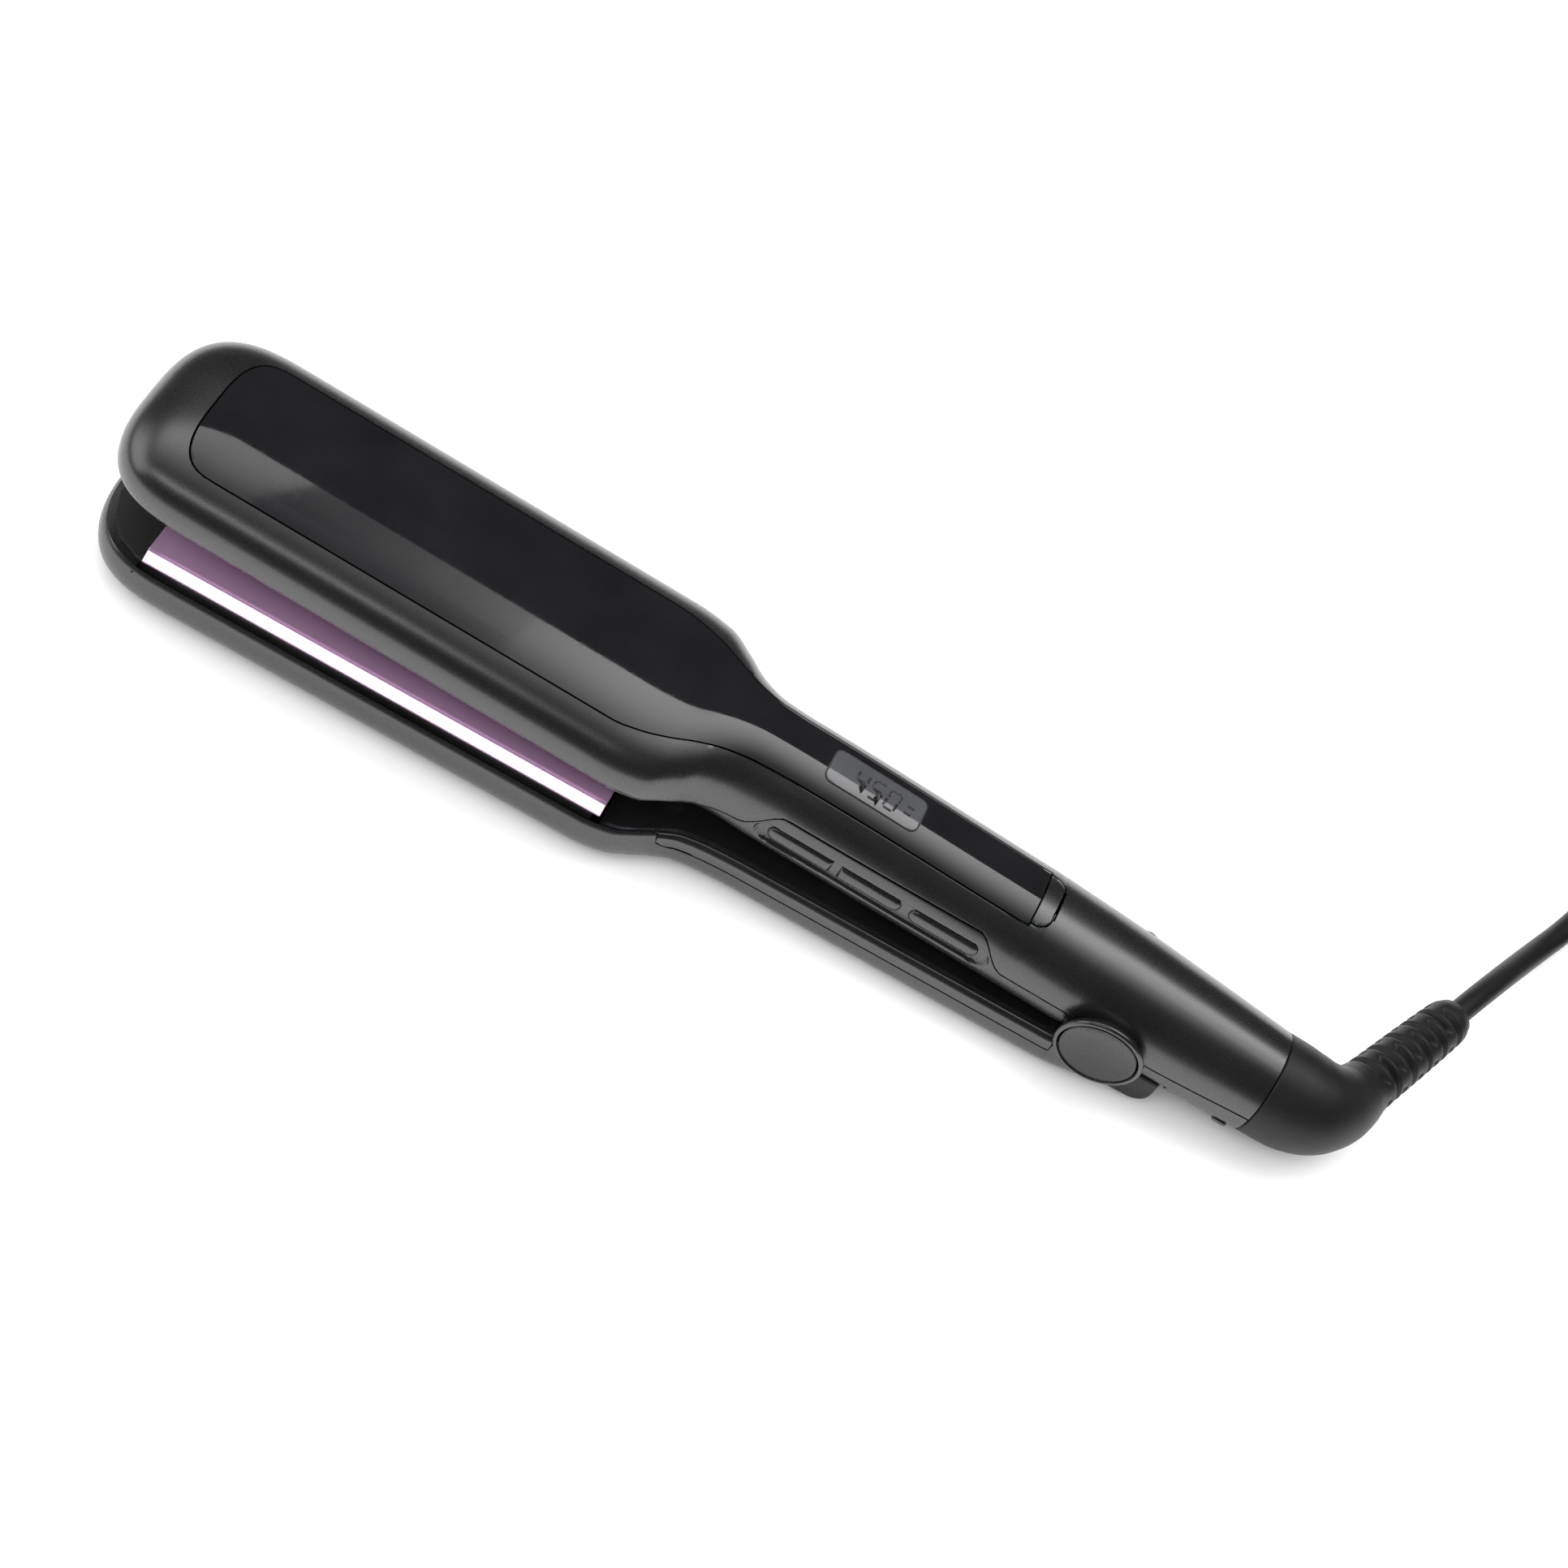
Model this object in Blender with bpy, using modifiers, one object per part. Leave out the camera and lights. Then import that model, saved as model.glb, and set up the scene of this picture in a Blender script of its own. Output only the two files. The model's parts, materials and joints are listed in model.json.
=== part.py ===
"""A wide-plate hair straightener, open, lying on its lower arm, with its lead and plug.

Units are metres, +Z is up, +X runs from the tip of the arms to the cord, and -Y is the
button side.  The origin is the middle of the flat underside of the lower arm, on the
surface that it lies on.  Each arm is modelled in a frame of its own that sits on the
hinge axis: lower_frame is level, and handle_frame is tipped up by the opening angle.
The top cover, the tail and the swivelling cord boot belong to the handle.
"""

import math

import bmesh
import bpy
from mathutils import Matrix, Vector

MM = 0.001

# Main sizes, in millimetres where a table or a *_MM name says so, otherwise in metres.
OPEN_ANGLE = math.radians(2.5)
HINGE = Vector((115 * MM, 0.0, 17 * MM))
NOSE_REACH = 25 * MM
NOSE_POWER = 3.0
NOSE_STEPS = 10
SEAM_X = 35.7 * MM
WALL = 1.2 * MM
PANEL_THICK = 1.6 * MM
GAP = 0.3 * MM
WELD = 0.01 * MM
RIM_COLUMNS = 8

# Sections of the handle side, in millimetres from the hinge axis:
# (x, half width, height of the widest line, rise to the crown, reach below, rim height, power)
HANDLE_SECTIONS = (
    (-242.5, 25.6, 5.5, 10.8, 7.4, 3.0, 2.5),
    (-121.0, 25.6, 5.5, 10.8, 7.4, 3.0, 2.5),
    (-112.0, 24.4, 5.3, 11.1, 7.4, 2.4, 2.5),
    (-106.0, 20.8, 5.0, 11.7, 7.4, 1.6, 2.4),
    (-100.0, 16.6, 4.4, 12.5, 8.5, 0.2, 2.3),
    (-94.0, 14.8, 4.0, 13.0, 13.0, -0.8, 2.2),
    (-86.0, 14.3, 4.0, 13.0, 16.0, -1.8, 2.2),
    (-28.0, 14.2, 3.0, 12.2, 16.0, -2.4, 2.1),
    (-13.0, 14.1, 2.0, 12.3, 16.0, -2.4, 2.1),
    (0.0, 14.0, 1.2, 12.4, 10.0, 0.8, 2.0),
    (12.0, 13.6, 0.0, 12.6, 12.0, 0.0, 2.0),
    (35.7, 12.0, -1.25, 12.0, 12.0, 0.0, 2.0),
)
HANDLE_STATIONS = (35.7, 24.0, 12.0, 0.0, -14.0, -28.0, -56.0, -86.0, -94.0, -100.0, -103.0,
                   -106.0, -109.0, -112.0, -121.0, -150.0, -184.0, -217.5)

# Sections of the lower arm, turned upside down: rises are depths below the hinge axis.
LOWER_SECTIONS = (
    (-242.5, 27.2, 6.0, 11.3, 12.0, 2.3, 4.0),
    (-120.0, 27.1, 6.0, 11.3, 12.0, 2.3, 4.0),
    (-113.0, 26.1, 6.0, 11.3, 12.0, 2.3, 4.0),
    (-108.7, 24.0, 6.0, 11.3, 12.0, 2.5, 4.0),
    (-103.0, 20.4, 6.0, 11.3, 12.0, 2.9, 4.0),
    (-99.0, 18.5, 6.0, 11.3, 12.0, 3.2, 4.0),
    (-92.0, 17.5, 6.0, 11.3, 12.0, 3.4, 4.0),
    (-85.0, 17.2, 6.0, 11.3, 12.0, 3.4, 4.0),
    (-11.0, 17.0, 6.0, 11.3, 12.0, 3.4, 4.0),
    (8.0, 14.0, 6.0, 11.3, 12.0, 3.4, 4.0),
)
LOWER_STATIONS = (6.0, 0.0, -6.0, -11.0, -46.0, -85.0, -92.0, -99.0, -103.0, -106.0,
                  -108.7, -113.0, -120.0, -150.0, -184.0, -217.5)
REST_DEPTH = 17 * MM

# Seams between the covers and the inner trims, as (x, height) in millimetres.
HANDLE_SEAM = ((-104.5, 0.0), (-103.0, 1.8), (-98.0, 2.4), (-12.0, 2.2), (-12.0, 0.0))
ISLAND_START_MM = -91.0
ISLAND_END_MM = -26.0
ISLAND_TOP_MM = 9.4
ISLAND_EASE_MM = 9.0
LOWER_SEAM = ((-104.5, 0.0), (-103.0, 5.4), (-99.5, 8.0), (-94.0, 8.4), (-11.5, 8.4), (-11.5, 0.0))
DECK_THICK = 2.4 * MM
DECK_STATIONS = (-11.8, -30.0, -60.0, -85.0, -92.0, -99.0, -103.0, -106.0, -108.7, -112.0, -115.8)
HANDLE_DECK = 0.8 * MM
HANDLE_DECK_INSET = 3.4 * MM
LOWER_DECK = -5.5 * MM
LOWER_DECK_INSET = 2.8 * MM

# Top panel, display and end tab.
PANEL_PLAN = (
    (-228.1, 17.4), (-124.0, 17.4), (-118.0, 16.4), (-112.0, 14.4), (-106.0, 11.6),
    (-100.0, 9.4), (-94.0, 8.3), (-85.0, 7.9), (-27.4, 7.5),
)
PANEL_STATIONS = (-27.4, -56.0, -85.0, -94.0, -100.0, -106.0, -112.0, -118.0, -124.0, -170.0, -218.1)
PANEL_NOSE_POWER = 3.2
PANEL_NOSE_REACH = 10 * MM
DISPLAY_CENTRE = Vector((-68.9 * MM, 0.3 * MM))
DISPLAY_SIZE = Vector((22.6 * MM, 9.2 * MM))
DISPLAY_CORNER = 1.8 * MM
TAB_X = (-27.0 * MM, -23.4 * MM)
TAB_HALF_WIDTH = 6.8 * MM
TAB_CORNER = 2.6 * MM

# Buttons, as (name, front end, rear end) in millimetres along the side of the handle.
BUTTONS = (
    ("temp_up_button", -84.3, -68.8),
    ("temp_down_button", -67.0, -51.8),
    ("power_button", -49.8, -32.9),
)
BUTTON_HEIGHT_MM = 3.65
BUTTON_HALF_MM = 1.55
BUTTON_CLEARANCE = 0.35 * MM
BUTTON_PROUD = 0.5 * MM
BUTTON_DEPTH = 1.6 * MM

# Plates and what carries them.
PLATE_CENTRE_X = -171.2 * MM
PLATE_LENGTH = 110 * MM
PLATE_HALF_WIDTHS = {"upper": 23.4 * MM, "lower": 25.0 * MM}
PLATE_FACE = 0.2 * MM
PLATE_THICK = 1.8 * MM
PLATE_BEVEL = 1.1 * MM
CARRIER_FACE = 3.1 * MM
CARRIER_BACK = 8.5 * MM
POCKET_BACK = 7.7 * MM
CARRIER_STATIONS = (-118.0, -217.5)
CARRIER_INSET = 2.6 * MM
POCKET_LENGTH = 96 * MM
POCKET_WIDTH = 24 * MM
HEATER_SIZE = Vector((88 * MM, 16 * MM, 1.9 * MM))
HEATER_FACE = 2.3 * MM
CUSHION_RADIUS = 4 * MM
CUSHION_FACE = 4.5 * MM
CUSHION_BACK = 7.4 * MM
CUSHION_OFFSET = 30 * MM

# Sleeved leads inside the housings, as points in millimetres.
HEATER_LEAD_RADIUS = 1.2 * MM
SUPPLY_LEAD_RADIUS = 1.6 * MM
UPPER_LEADS_MM = ((-121, 4, 9.6), (-110, 4, 9.4), (-100, 3, 6.0), (-92, 3, 5.0), (-78, 3, 5.0))
LOWER_LEADS_MM = ((-121, -4, -10.2), (-104, -4, -9.8), (-60, -3, -9.6), (-16, -3, -10.0))
SUPPLY_LEADS_MM = (
    (-22.4, 0, 9.2), (-8, 0, 9.8), (8, 0, 9.7), (16, 0, 6.0), (22, 0, 1.5), (27.9, 0, -1.25),
)

# Hinge.
PIN_RADIUS = 2 * MM
PIN_CLEARANCE = 0.1 * MM
PIN_Y = (-16.2 * MM, 15.1 * MM)
NEAR_EAR_RADIUS = 9.6 * MM
NEAR_EAR_Y = (-16.4 * MM, -14.7 * MM)
FAR_EAR_RADIUS = 3.4 * MM
FAR_EAR_Y = (14.5 * MM, 15.3 * MM)
FAR_STEM_HALF = 2.6 * MM
FAR_STEM_Y = (14.6 * MM, 15.2 * MM)
FAR_STEM_DEPTH = 10 * MM
NEAR_CAP_RADIUS = 10.1 * MM
NEAR_CAP_Y = -16.7 * MM
NEAR_CAP_THICK = 1.5 * MM
FAR_CAP_RADIUS = 3.2 * MM
FAR_CAP_Y = 15.6 * MM
FAR_CAP_THICK = 0.6 * MM
CAP_DISH_RADIUS = 8.6 * MM
CAP_DISH_DEPTH = 0.8 * MM
CAP_EDGE = 0.4 * MM
KNUCKLE_HALF_WIDTH = 10.4 * MM
KNUCKLE_X = (-9 * MM, 16.6 * MM)
KNUCKLE_Z = (-14.9 * MM, -7.0 * MM)
KNUCKLE_LUG_Y = (6.0 * MM, 8.0 * MM)
BRACKET_LUG_Y = (8.6 * MM, 10.2 * MM)
LUG_RADIUS = 5 * MM
BRACKET_TOP = 6.6 * MM
SPRING_RADIUS = 4.2 * MM
SPRING_WIRE = 0.6 * MM
SPRING_TURNS = 4
SPRING_HALF_LENGTH = 4.2 * MM
SPRING_POINTS_PER_TURN = 10
SPRING_LEG = 9 * MM

# Tail and swivelling cord boot.
TAIL_FRONT = 17.8 * MM
TAIL_AXIS_Z = -1.25 * MM
TAIL_RADIUS = 12 * MM
BOOT_BEND_START = 41.7 * MM
BOOT_BEND_RADIUS = 16 * MM
BOOT_BEND_ANGLE = math.radians(65)
BOOT_PROFILE_MM = (
    (0.0, 12.0), (6.0, 11.9), (12.0, 11.2), (18.0, 9.4), (24.0, 7.3), (28.0, 6.5),
    (46.0, 6.0), (58.0, 5.5), (60.8, 4.6),
)
COLLAR_X = (28.5 * MM, 35.2 * MM)
COLLAR_RADIUS = 9.4 * MM
LOCK_X = (30.4 * MM, 34.0 * MM)
LOCK_ANGLE = math.radians(38)
LOCK_TRAVEL = 4 * MM

# Lead: routes in world coordinates, in millimetres, chosen by hand.  It leaves the boot,
# comes down to the surface, is wound into a coil, and runs on from the coil to the plug.
CORD_DIAMETER = 5.7 * MM
CORD_ROUTE_MM = (
    (186.8, 42.9, 12.6), (190.4, 51.0, 12.1), (194.7, 60.5, 10.4), (199.2, 70.5, 7.4),
    (203.8, 80.5, 4.6), (208.3, 90.0, 3.2), (212.2, 99.5, 2.9), (215.1, 110.0, 2.9),
    (216.05, 120.0, 2.9),
)
PLUG_ROUTE_MM = ((303.95, 120.0, 8.55), (303.98, 110.0, 8.3), (304.0, 100.0, 7.5), (304.0, 92.3, 7.0))
COIL_CENTRE = Vector((260 * MM, 120 * MM, 0.0))
COIL_ACROSS = 4
COIL_LAYERS = 2
COIL_TURN_RADIUS = 35.4 * MM
TIE_WIDTH = 6 * MM
TIE_THICK = 1 * MM
TIE_RISE = 1.3 * MM
PLUG_X = 304 * MM
PLUG_Y = (50 * MM, 76 * MM)
PLUG_SIZE = Vector((24 * MM, 26 * MM, 14 * MM))
PLUG_RELIEF_LENGTH = 16 * MM
PLUG_RELIEF_RADII = (5.6 * MM, 3.6 * MM)
BLADE_OFFSET = 6.35 * MM
BLADE_SIZE = Vector((1.5 * MM, 17 * MM, 6.3 * MM))

SCREW_HEAD_RADIUS = 2.5 * MM
SCREW_HEAD_HEIGHT = 1.2 * MM
SCREW_SHANK_RADIUS = 1.2 * MM
SCREW_LENGTH = 4.5 * MM
SCREW_X = (-104 * MM, -20 * MM)


# ---------------------------------------------------------------- scene and materials

def clear_scene():
    for item in list(bpy.data.objects):
        bpy.data.objects.remove(item, do_unlink=True)


def new_collection(name):
    group = bpy.data.collections.new(name)
    bpy.context.scene.collection.children.link(group)
    return group


def new_frame(name, location, tilt):
    frame = bpy.data.objects.new(name, None)
    frame.location = location
    frame.rotation_euler = (0.0, tilt, 0.0)
    PARTS.objects.link(frame)
    return frame


def new_material(name, colour, roughness, metallic=0.0):
    material = bpy.data.materials.new(name)
    material.use_nodes = True
    shader = material.node_tree.nodes["Principled BSDF"]
    shader.inputs["Base Color"].default_value = (*colour, 1.0)
    shader.inputs["Roughness"].default_value = roughness
    shader.inputs["Metallic"].default_value = metallic
    return material


def finish_part(item, frame, material):
    """Put an object with the parts, under its arm's frame, with its material."""
    for group in list(item.users_collection):
        group.objects.unlink(item)
    PARTS.objects.link(item)
    item.parent = frame
    item.data.materials.clear()
    item.data.materials.append(material)
    return item


def finish_guide(item, frame):
    """Put an object with the cutters: it shapes others and isn't built itself."""
    for group in list(item.users_collection):
        group.objects.unlink(item)
    CUTTERS.objects.link(item)
    item.parent = frame
    item.hide_render = True
    item.display_type = "WIRE"
    return item


# ---------------------------------------------------------------- modelling tools

def boolean(item, other, operation):
    modifier = item.modifiers.new(operation.title() + "_" + other.name, "BOOLEAN")
    modifier.operation = operation
    modifier.object = other
    modifier.solver = "EXACT"
    return item


def bevel(item, width, segments=1):
    modifier = item.modifiers.new("Bevel", "BEVEL")
    modifier.width = width
    modifier.segments = segments
    modifier.limit_method = "ANGLE"
    return item


def solidify(item, thickness):
    modifier = item.modifiers.new("Thickness", "SOLIDIFY")
    modifier.thickness = thickness
    modifier.offset = -1.0
    return item


def object_from_bmesh(name, shape):
    mesh = bpy.data.meshes.new(name)
    shape.to_mesh(mesh)
    shape.free()
    item = bpy.data.objects.new(name, mesh)
    bpy.context.scene.collection.objects.link(item)
    return item


def box(name, low, high):
    """A box between two corners, with its scale already in its mesh."""
    low = Vector(low)
    high = Vector(high)
    shape = bmesh.new()
    bmesh.ops.create_cube(shape, size=1.0)
    bmesh.ops.scale(shape, vec=high - low, verts=shape.verts)
    item = object_from_bmesh(name, shape)
    item.location = (low + high) / 2
    return item


def cylinder(name, centre, radius, length, axis, sides=16):
    """A closed cylinder centred on a point, along X, Y or Z."""
    turn = {"X": Matrix.Rotation(math.pi / 2, 4, "Y"),
            "Y": Matrix.Rotation(math.pi / 2, 4, "X"),
            "Z": Matrix.Identity(4)}[axis]
    shape = bmesh.new()
    bmesh.ops.create_cone(shape, cap_ends=True, segments=sides, radius1=radius, radius2=radius,
                          depth=length, matrix=turn)
    item = object_from_bmesh(name, shape)
    item.location = centre
    return item


def mesh_from_curve(item):
    """The same object as a mesh, with its loose caps welded on."""
    bpy.context.view_layer.update()
    evaluated = item.evaluated_get(bpy.context.evaluated_depsgraph_get())
    mesh = bpy.data.meshes.new_from_object(evaluated)
    shape = bmesh.new()
    shape.from_mesh(mesh)
    bmesh.ops.remove_doubles(shape, verts=shape.verts, dist=WELD)
    bmesh.ops.recalc_face_normals(shape, faces=shape.faces)
    shape.to_mesh(mesh)
    shape.free()
    solid = bpy.data.objects.new(item.name + "_mesh", mesh)
    solid.matrix_world = item.matrix_world
    bpy.context.scene.collection.objects.link(solid)
    name = item.name
    bpy.data.objects.remove(item, do_unlink=True)
    solid.name = name
    return solid


def prism(name, points, low, high, sideways=False):
    """A flat outline pushed out along Z, or along Y when its points are (x, z)."""
    curve = bpy.data.curves.new(name, "CURVE")
    curve.dimensions = "2D"
    curve.fill_mode = "BOTH"
    curve.extrude = (high - low) / 2
    spline = curve.splines.new("POLY")
    spline.points.add(len(points) - 1)
    for point, (across, up) in zip(spline.points, points):
        point.co = (across, up, 0.0, 1.0)
    spline.use_cyclic_u = True
    item = bpy.data.objects.new(name, curve)
    bpy.context.scene.collection.objects.link(item)
    middle = (low + high) / 2
    item.location = (0.0, middle, 0.0) if sideways else (0.0, 0.0, middle)
    item.rotation_euler = (math.pi / 2, 0.0, 0.0) if sideways else (0.0, 0.0, 0.0)
    return mesh_from_curve(item)


def tube(name, points, radius, resolution, radii=None):
    """A round tube along a list of points, with a varying radius when one is given."""
    curve = bpy.data.curves.new(name, "CURVE")
    curve.dimensions = "3D"
    curve.bevel_depth = radius
    curve.bevel_resolution = resolution
    curve.use_fill_caps = True
    spline = curve.splines.new("POLY")
    spline.points.add(len(points) - 1)
    for index, (point, place) in enumerate(zip(spline.points, points)):
        point.co = (*place, 1.0)
        point.radius = radii[index] / radius if radii else 1.0
    item = bpy.data.objects.new(name, curve)
    bpy.context.scene.collection.objects.link(item)
    return item


def turned(name, profile, sides):
    """A body turned about Z from (radius, height) points that start and end on the axis."""
    mesh = bpy.data.meshes.new(name)
    points = [(radius, 0.0, height) for radius, height in profile]
    mesh.from_pydata(points, [(i, i + 1) for i in range(len(points) - 1)], [])
    item = bpy.data.objects.new(name, mesh)
    bpy.context.scene.collection.objects.link(item)
    screw = item.modifiers.new("Turn", "SCREW")
    screw.steps = sides
    screw.render_steps = sides
    screw.use_merge_vertices = True
    screw.merge_threshold = 0.00001
    return item


# ---------------------------------------------------------------- outlines

def arc(centre, radius, start, end, steps):
    """Points of an arc, with its angles in degrees."""
    angles = [math.radians(start + (end - start) * i / steps) for i in range(steps + 1)]
    return [(centre[0] + radius * math.cos(a), centre[1] + radius * math.sin(a)) for a in angles]


def pill(low, high, middle, half, steps=6):
    """A stadium between two ends along the first axis."""
    return (arc((high - half, middle), half, -90, 90, steps)
            + arc((low + half, middle), half, 90, 270, steps))


def rounded_rectangle(centre, size, radius, steps=3):
    half_x = size[0] / 2 - radius
    half_y = size[1] / 2 - radius
    corners = ((1, -1, -90), (1, 1, 0), (-1, 1, 90), (-1, -1, 180))
    points = []
    for side_x, side_y, start in corners:
        middle = (centre[0] + side_x * half_x, centre[1] + side_y * half_y)
        points += arc(middle, radius, start, start + 90, steps)
    return points


def slope_between(first, second, third):
    """Slope at the middle of three (x, value) points that makes no overshoot."""
    before = (second[1] - first[1]) / (second[0] - first[0])
    after = (third[1] - second[1]) / (third[0] - second[0])
    if before * after <= 0:
        return 0.0
    return 2 * before * after / (before + after)


def along(table, x, column):
    """One column of a table of sections, read at x as a smooth curve without overshoot."""
    points = [(row[0], row[column]) for row in table]
    x = min(max(x, points[0][0]), points[-1][0])
    index = max(i for i in range(len(points) - 1) if points[i][0] <= x)
    left = points[index]
    right = points[index + 1]
    start = slope_between(points[index - 1], left, right) if index > 0 else 0.0
    end = slope_between(left, right, points[index + 2]) if index + 2 < len(points) else (
        right[1] - left[1]) / (right[0] - left[0])
    span = right[0] - left[0]
    t = (x - left[0]) / span
    return ((2 * t**3 - 3 * t**2 + 1) * left[1] + (t**3 - 2 * t**2 + t) * span * start
            + (3 * t**2 - 2 * t**3) * right[1] + (t**3 - t**2) * span * end)


def plan_rows(table, stations, inset=0.0, reach=NOSE_REACH, power=NOSE_POWER):
    """Rows round a plan from the near rear corner over the tip to the far rear corner.

    Each row is a pair: a point of the centre line, and a point of the outline.
    """
    centre = stations[-1] * MM
    widths = [(x * MM, along(table, x, 1) * MM - inset) for x in stations]
    near = [((x, 0.0), (x, -width)) for x, width in widths]
    far = [((x, 0.0), (x, width)) for x, width in reversed(widths)]
    half = widths[-1][1]
    nose = []
    for step in range(1, NOSE_STEPS):
        angle = math.pi * step / NOSE_STEPS
        back = math.sin(angle) ** (2 / power)
        side = -math.copysign(abs(math.cos(angle)) ** (2 / power), math.cos(angle))
        nose.append(((centre, 0.0), (centre - (reach - inset) * back, side * half)))
    return near + nose + far


def plan_outline(rows):
    return [rim for centre, rim in rows]


def arm_skin(name, sections, stations, upside_down=False, rest=None, grow=0.0):
    """The outer surface of an arm, open along its rim and at its rear end."""
    rows = plan_rows(sections, stations, inset=-grow)
    shape = bmesh.new()
    grid = []
    for centre, rim in rows:
        x = centre[0] / MM
        middle, rise, reach, edge, power = (along(sections, x, k) for k in range(2, 7))
        depth = (edge - middle) / (rise if edge > middle else reach)
        first = math.asin(math.copysign(abs(depth) ** (power / 2), depth))
        line = []
        for column in range(RIM_COLUMNS + 1):
            angle = first + (math.pi / 2 - first) * column / RIM_COLUMNS
            out = abs(math.cos(angle)) ** (2 / power) if column < RIM_COLUMNS else 0.0
            up = math.copysign(abs(math.sin(angle)) ** (2 / power), math.sin(angle))
            height = (middle + up * (rise if up > 0 else reach)) * MM + (grow if up > 0 else 0.0)
            if rest is not None:
                height = min(height, rest)
            place = (centre[0] + (rim[0] - centre[0]) * out,
                     centre[1] + (rim[1] - centre[1]) * out,
                     -height if upside_down else height)
            line.append(shape.verts.new(place))
        grid.append(line)
    for here, there in zip(grid, grid[1:]):
        for column in range(RIM_COLUMNS):
            corners = (here[column], here[column + 1], there[column + 1], there[column])
            shape.faces.new(reversed(corners) if upside_down else corners)
    bmesh.ops.remove_doubles(shape, verts=shape.verts, dist=1e-6)
    return object_from_bmesh(name, shape)


# ---------------------------------------------------------------- handle side

def handle_shell(name, thickness, grow=0.0):
    skin = arm_skin(name, HANDLE_SECTIONS, HANDLE_STATIONS, grow=grow)
    return solidify(skin, thickness)


def island_height(x_mm):
    """Height of the handle seam on the button side, with the island over the buttons."""
    rise = min((x_mm - ISLAND_START_MM) / ISLAND_EASE_MM, (ISLAND_END_MM - x_mm) / ISLAND_EASE_MM)
    t = min(max(rise, 0.0), 1.0)
    return HANDLE_SEAM[2][1] + (ISLAND_TOP_MM - HANDLE_SEAM[2][1]) * t * t * (3 - 2 * t)


def seam_points(seam, shift, sign=1):
    return [(x * MM, sign * (z * MM + shift)) for x, z in seam]


def handle_seam_prism(name, near, shift):
    """The space under the handle seam on one side; shift widens or narrows it."""
    line = [HANDLE_SEAM[1], HANDLE_SEAM[2]]
    if near:
        steps = 7
        for start in (ISLAND_START_MM, ISLAND_END_MM - ISLAND_EASE_MM):
            for step in range(steps + 1):
                x = start + ISLAND_EASE_MM * step / steps
                line.append((x, island_height(x)))
    line.append(HANDLE_SEAM[3])
    rear = HANDLE_SEAM[4][0] * MM + shift
    front = HANDLE_SEAM[0][0] * MM - shift
    points = [(front, -5 * MM)] + seam_points(line, shift) + [(rear, line[-1][1] * MM + shift),
                                                            (rear, -5 * MM)]
    low, high = (-40 * MM, 0.0) if near else (0.0, 40 * MM)
    return prism(name, points, low, high, sideways=True)


def panel_outline(inset):
    rows = plan_rows(PANEL_PLAN, PANEL_STATIONS, inset=inset, reach=PANEL_NOSE_REACH, power=PANEL_NOSE_POWER)
    outline = plan_outline(rows)
    outline[0] = (outline[0][0] - inset, outline[0][1])
    outline[-1] = (outline[-1][0] - inset, outline[-1][1])
    return outline


def tab_outline(inset):
    front = TAB_X[0] + inset
    rear = TAB_X[1] - inset
    half = TAB_HALF_WIDTH - inset
    corner = TAB_CORNER
    return ([(front, half), (front, -half)]
            + arc((rear - corner, -half + corner), corner, -90, 0, 4)
            + arc((rear - corner, half - corner), corner, 0, 90, 4))


def make_top_cover():
    cover = handle_shell("top_cover", WALL)
    for near in (True, False):
        side = "near" if near else "far"
        boolean(cover, finish_guide(handle_seam_prism("seam_cut_" + side, near, GAP), HANDLE), "DIFFERENCE")
    above = (9 * MM, 30 * MM)
    panel_hole = prism("panel_hole", panel_outline(-GAP), *above)
    tab_hole = prism("tab_hole", tab_outline(-GAP), *above)
    for hole in (panel_hole, tab_hole):
        boolean(cover, finish_guide(hole, HANDLE), "DIFFERENCE")
    bore = cylinder("cover_bore", (0, 0, 0), PIN_RADIUS + GAP, 40 * MM, "Y", 24)
    boolean(cover, finish_guide(bore, HANDLE), "DIFFERENCE")
    return finish_part(cover, HANDLE, SATIN)


def make_top_panel():
    panel = handle_shell("top_panel", PANEL_THICK)
    outline = prism("panel_outline", panel_outline(0.0), 9 * MM, 30 * MM)
    boolean(panel, finish_guide(outline, HANDLE), "INTERSECT")
    window = rounded_rectangle(DISPLAY_CENTRE, DISPLAY_SIZE, DISPLAY_CORNER)
    opening = prism("window_hole", window, 5 * MM, 32 * MM)
    boolean(panel, finish_guide(opening, HANDLE), "DIFFERENCE")
    return finish_part(panel, HANDLE, GLOSS)


def make_display():
    inner = DISPLAY_SIZE - Vector((2 * GAP, 2 * GAP))
    window = handle_shell("display_window", PANEL_THICK)
    outline = rounded_rectangle(DISPLAY_CENTRE, inner, DISPLAY_CORNER)
    boolean(window, finish_guide(prism("window_outline", outline, 9 * MM, 31 * MM), HANDLE), "INTERSECT")
    finish_part(window, HANDLE, LENS)
    x, y = DISPLAY_CENTRE
    module = box("display_module", (x - 12 * MM, y - 5.4 * MM, 9.6 * MM),
                 (x + 12 * MM, y + 5.4 * MM, 12.9 * MM))
    return finish_part(module, HANDLE, BOARD)


def make_end_tab():
    tab = handle_shell("panel_end_tab", PANEL_THICK)
    outline = prism("tab_outline", tab_outline(0.0), 9 * MM, 30 * MM)
    boolean(tab, finish_guide(outline, HANDLE), "INTERSECT")
    return finish_part(tab, HANDLE, SATIN)


def deck(name, sections, face, back, side_gap):
    """The flat wall of an arm behind its plate, as a solid between two heights."""
    near = [(x * MM, -(along(sections, x, 1) * MM - side_gap)) for x in DECK_STATIONS]
    far = [(x, -y) for x, y in reversed(near)]
    return prism(name, near + far, min(face, back), max(face, back))


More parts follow.
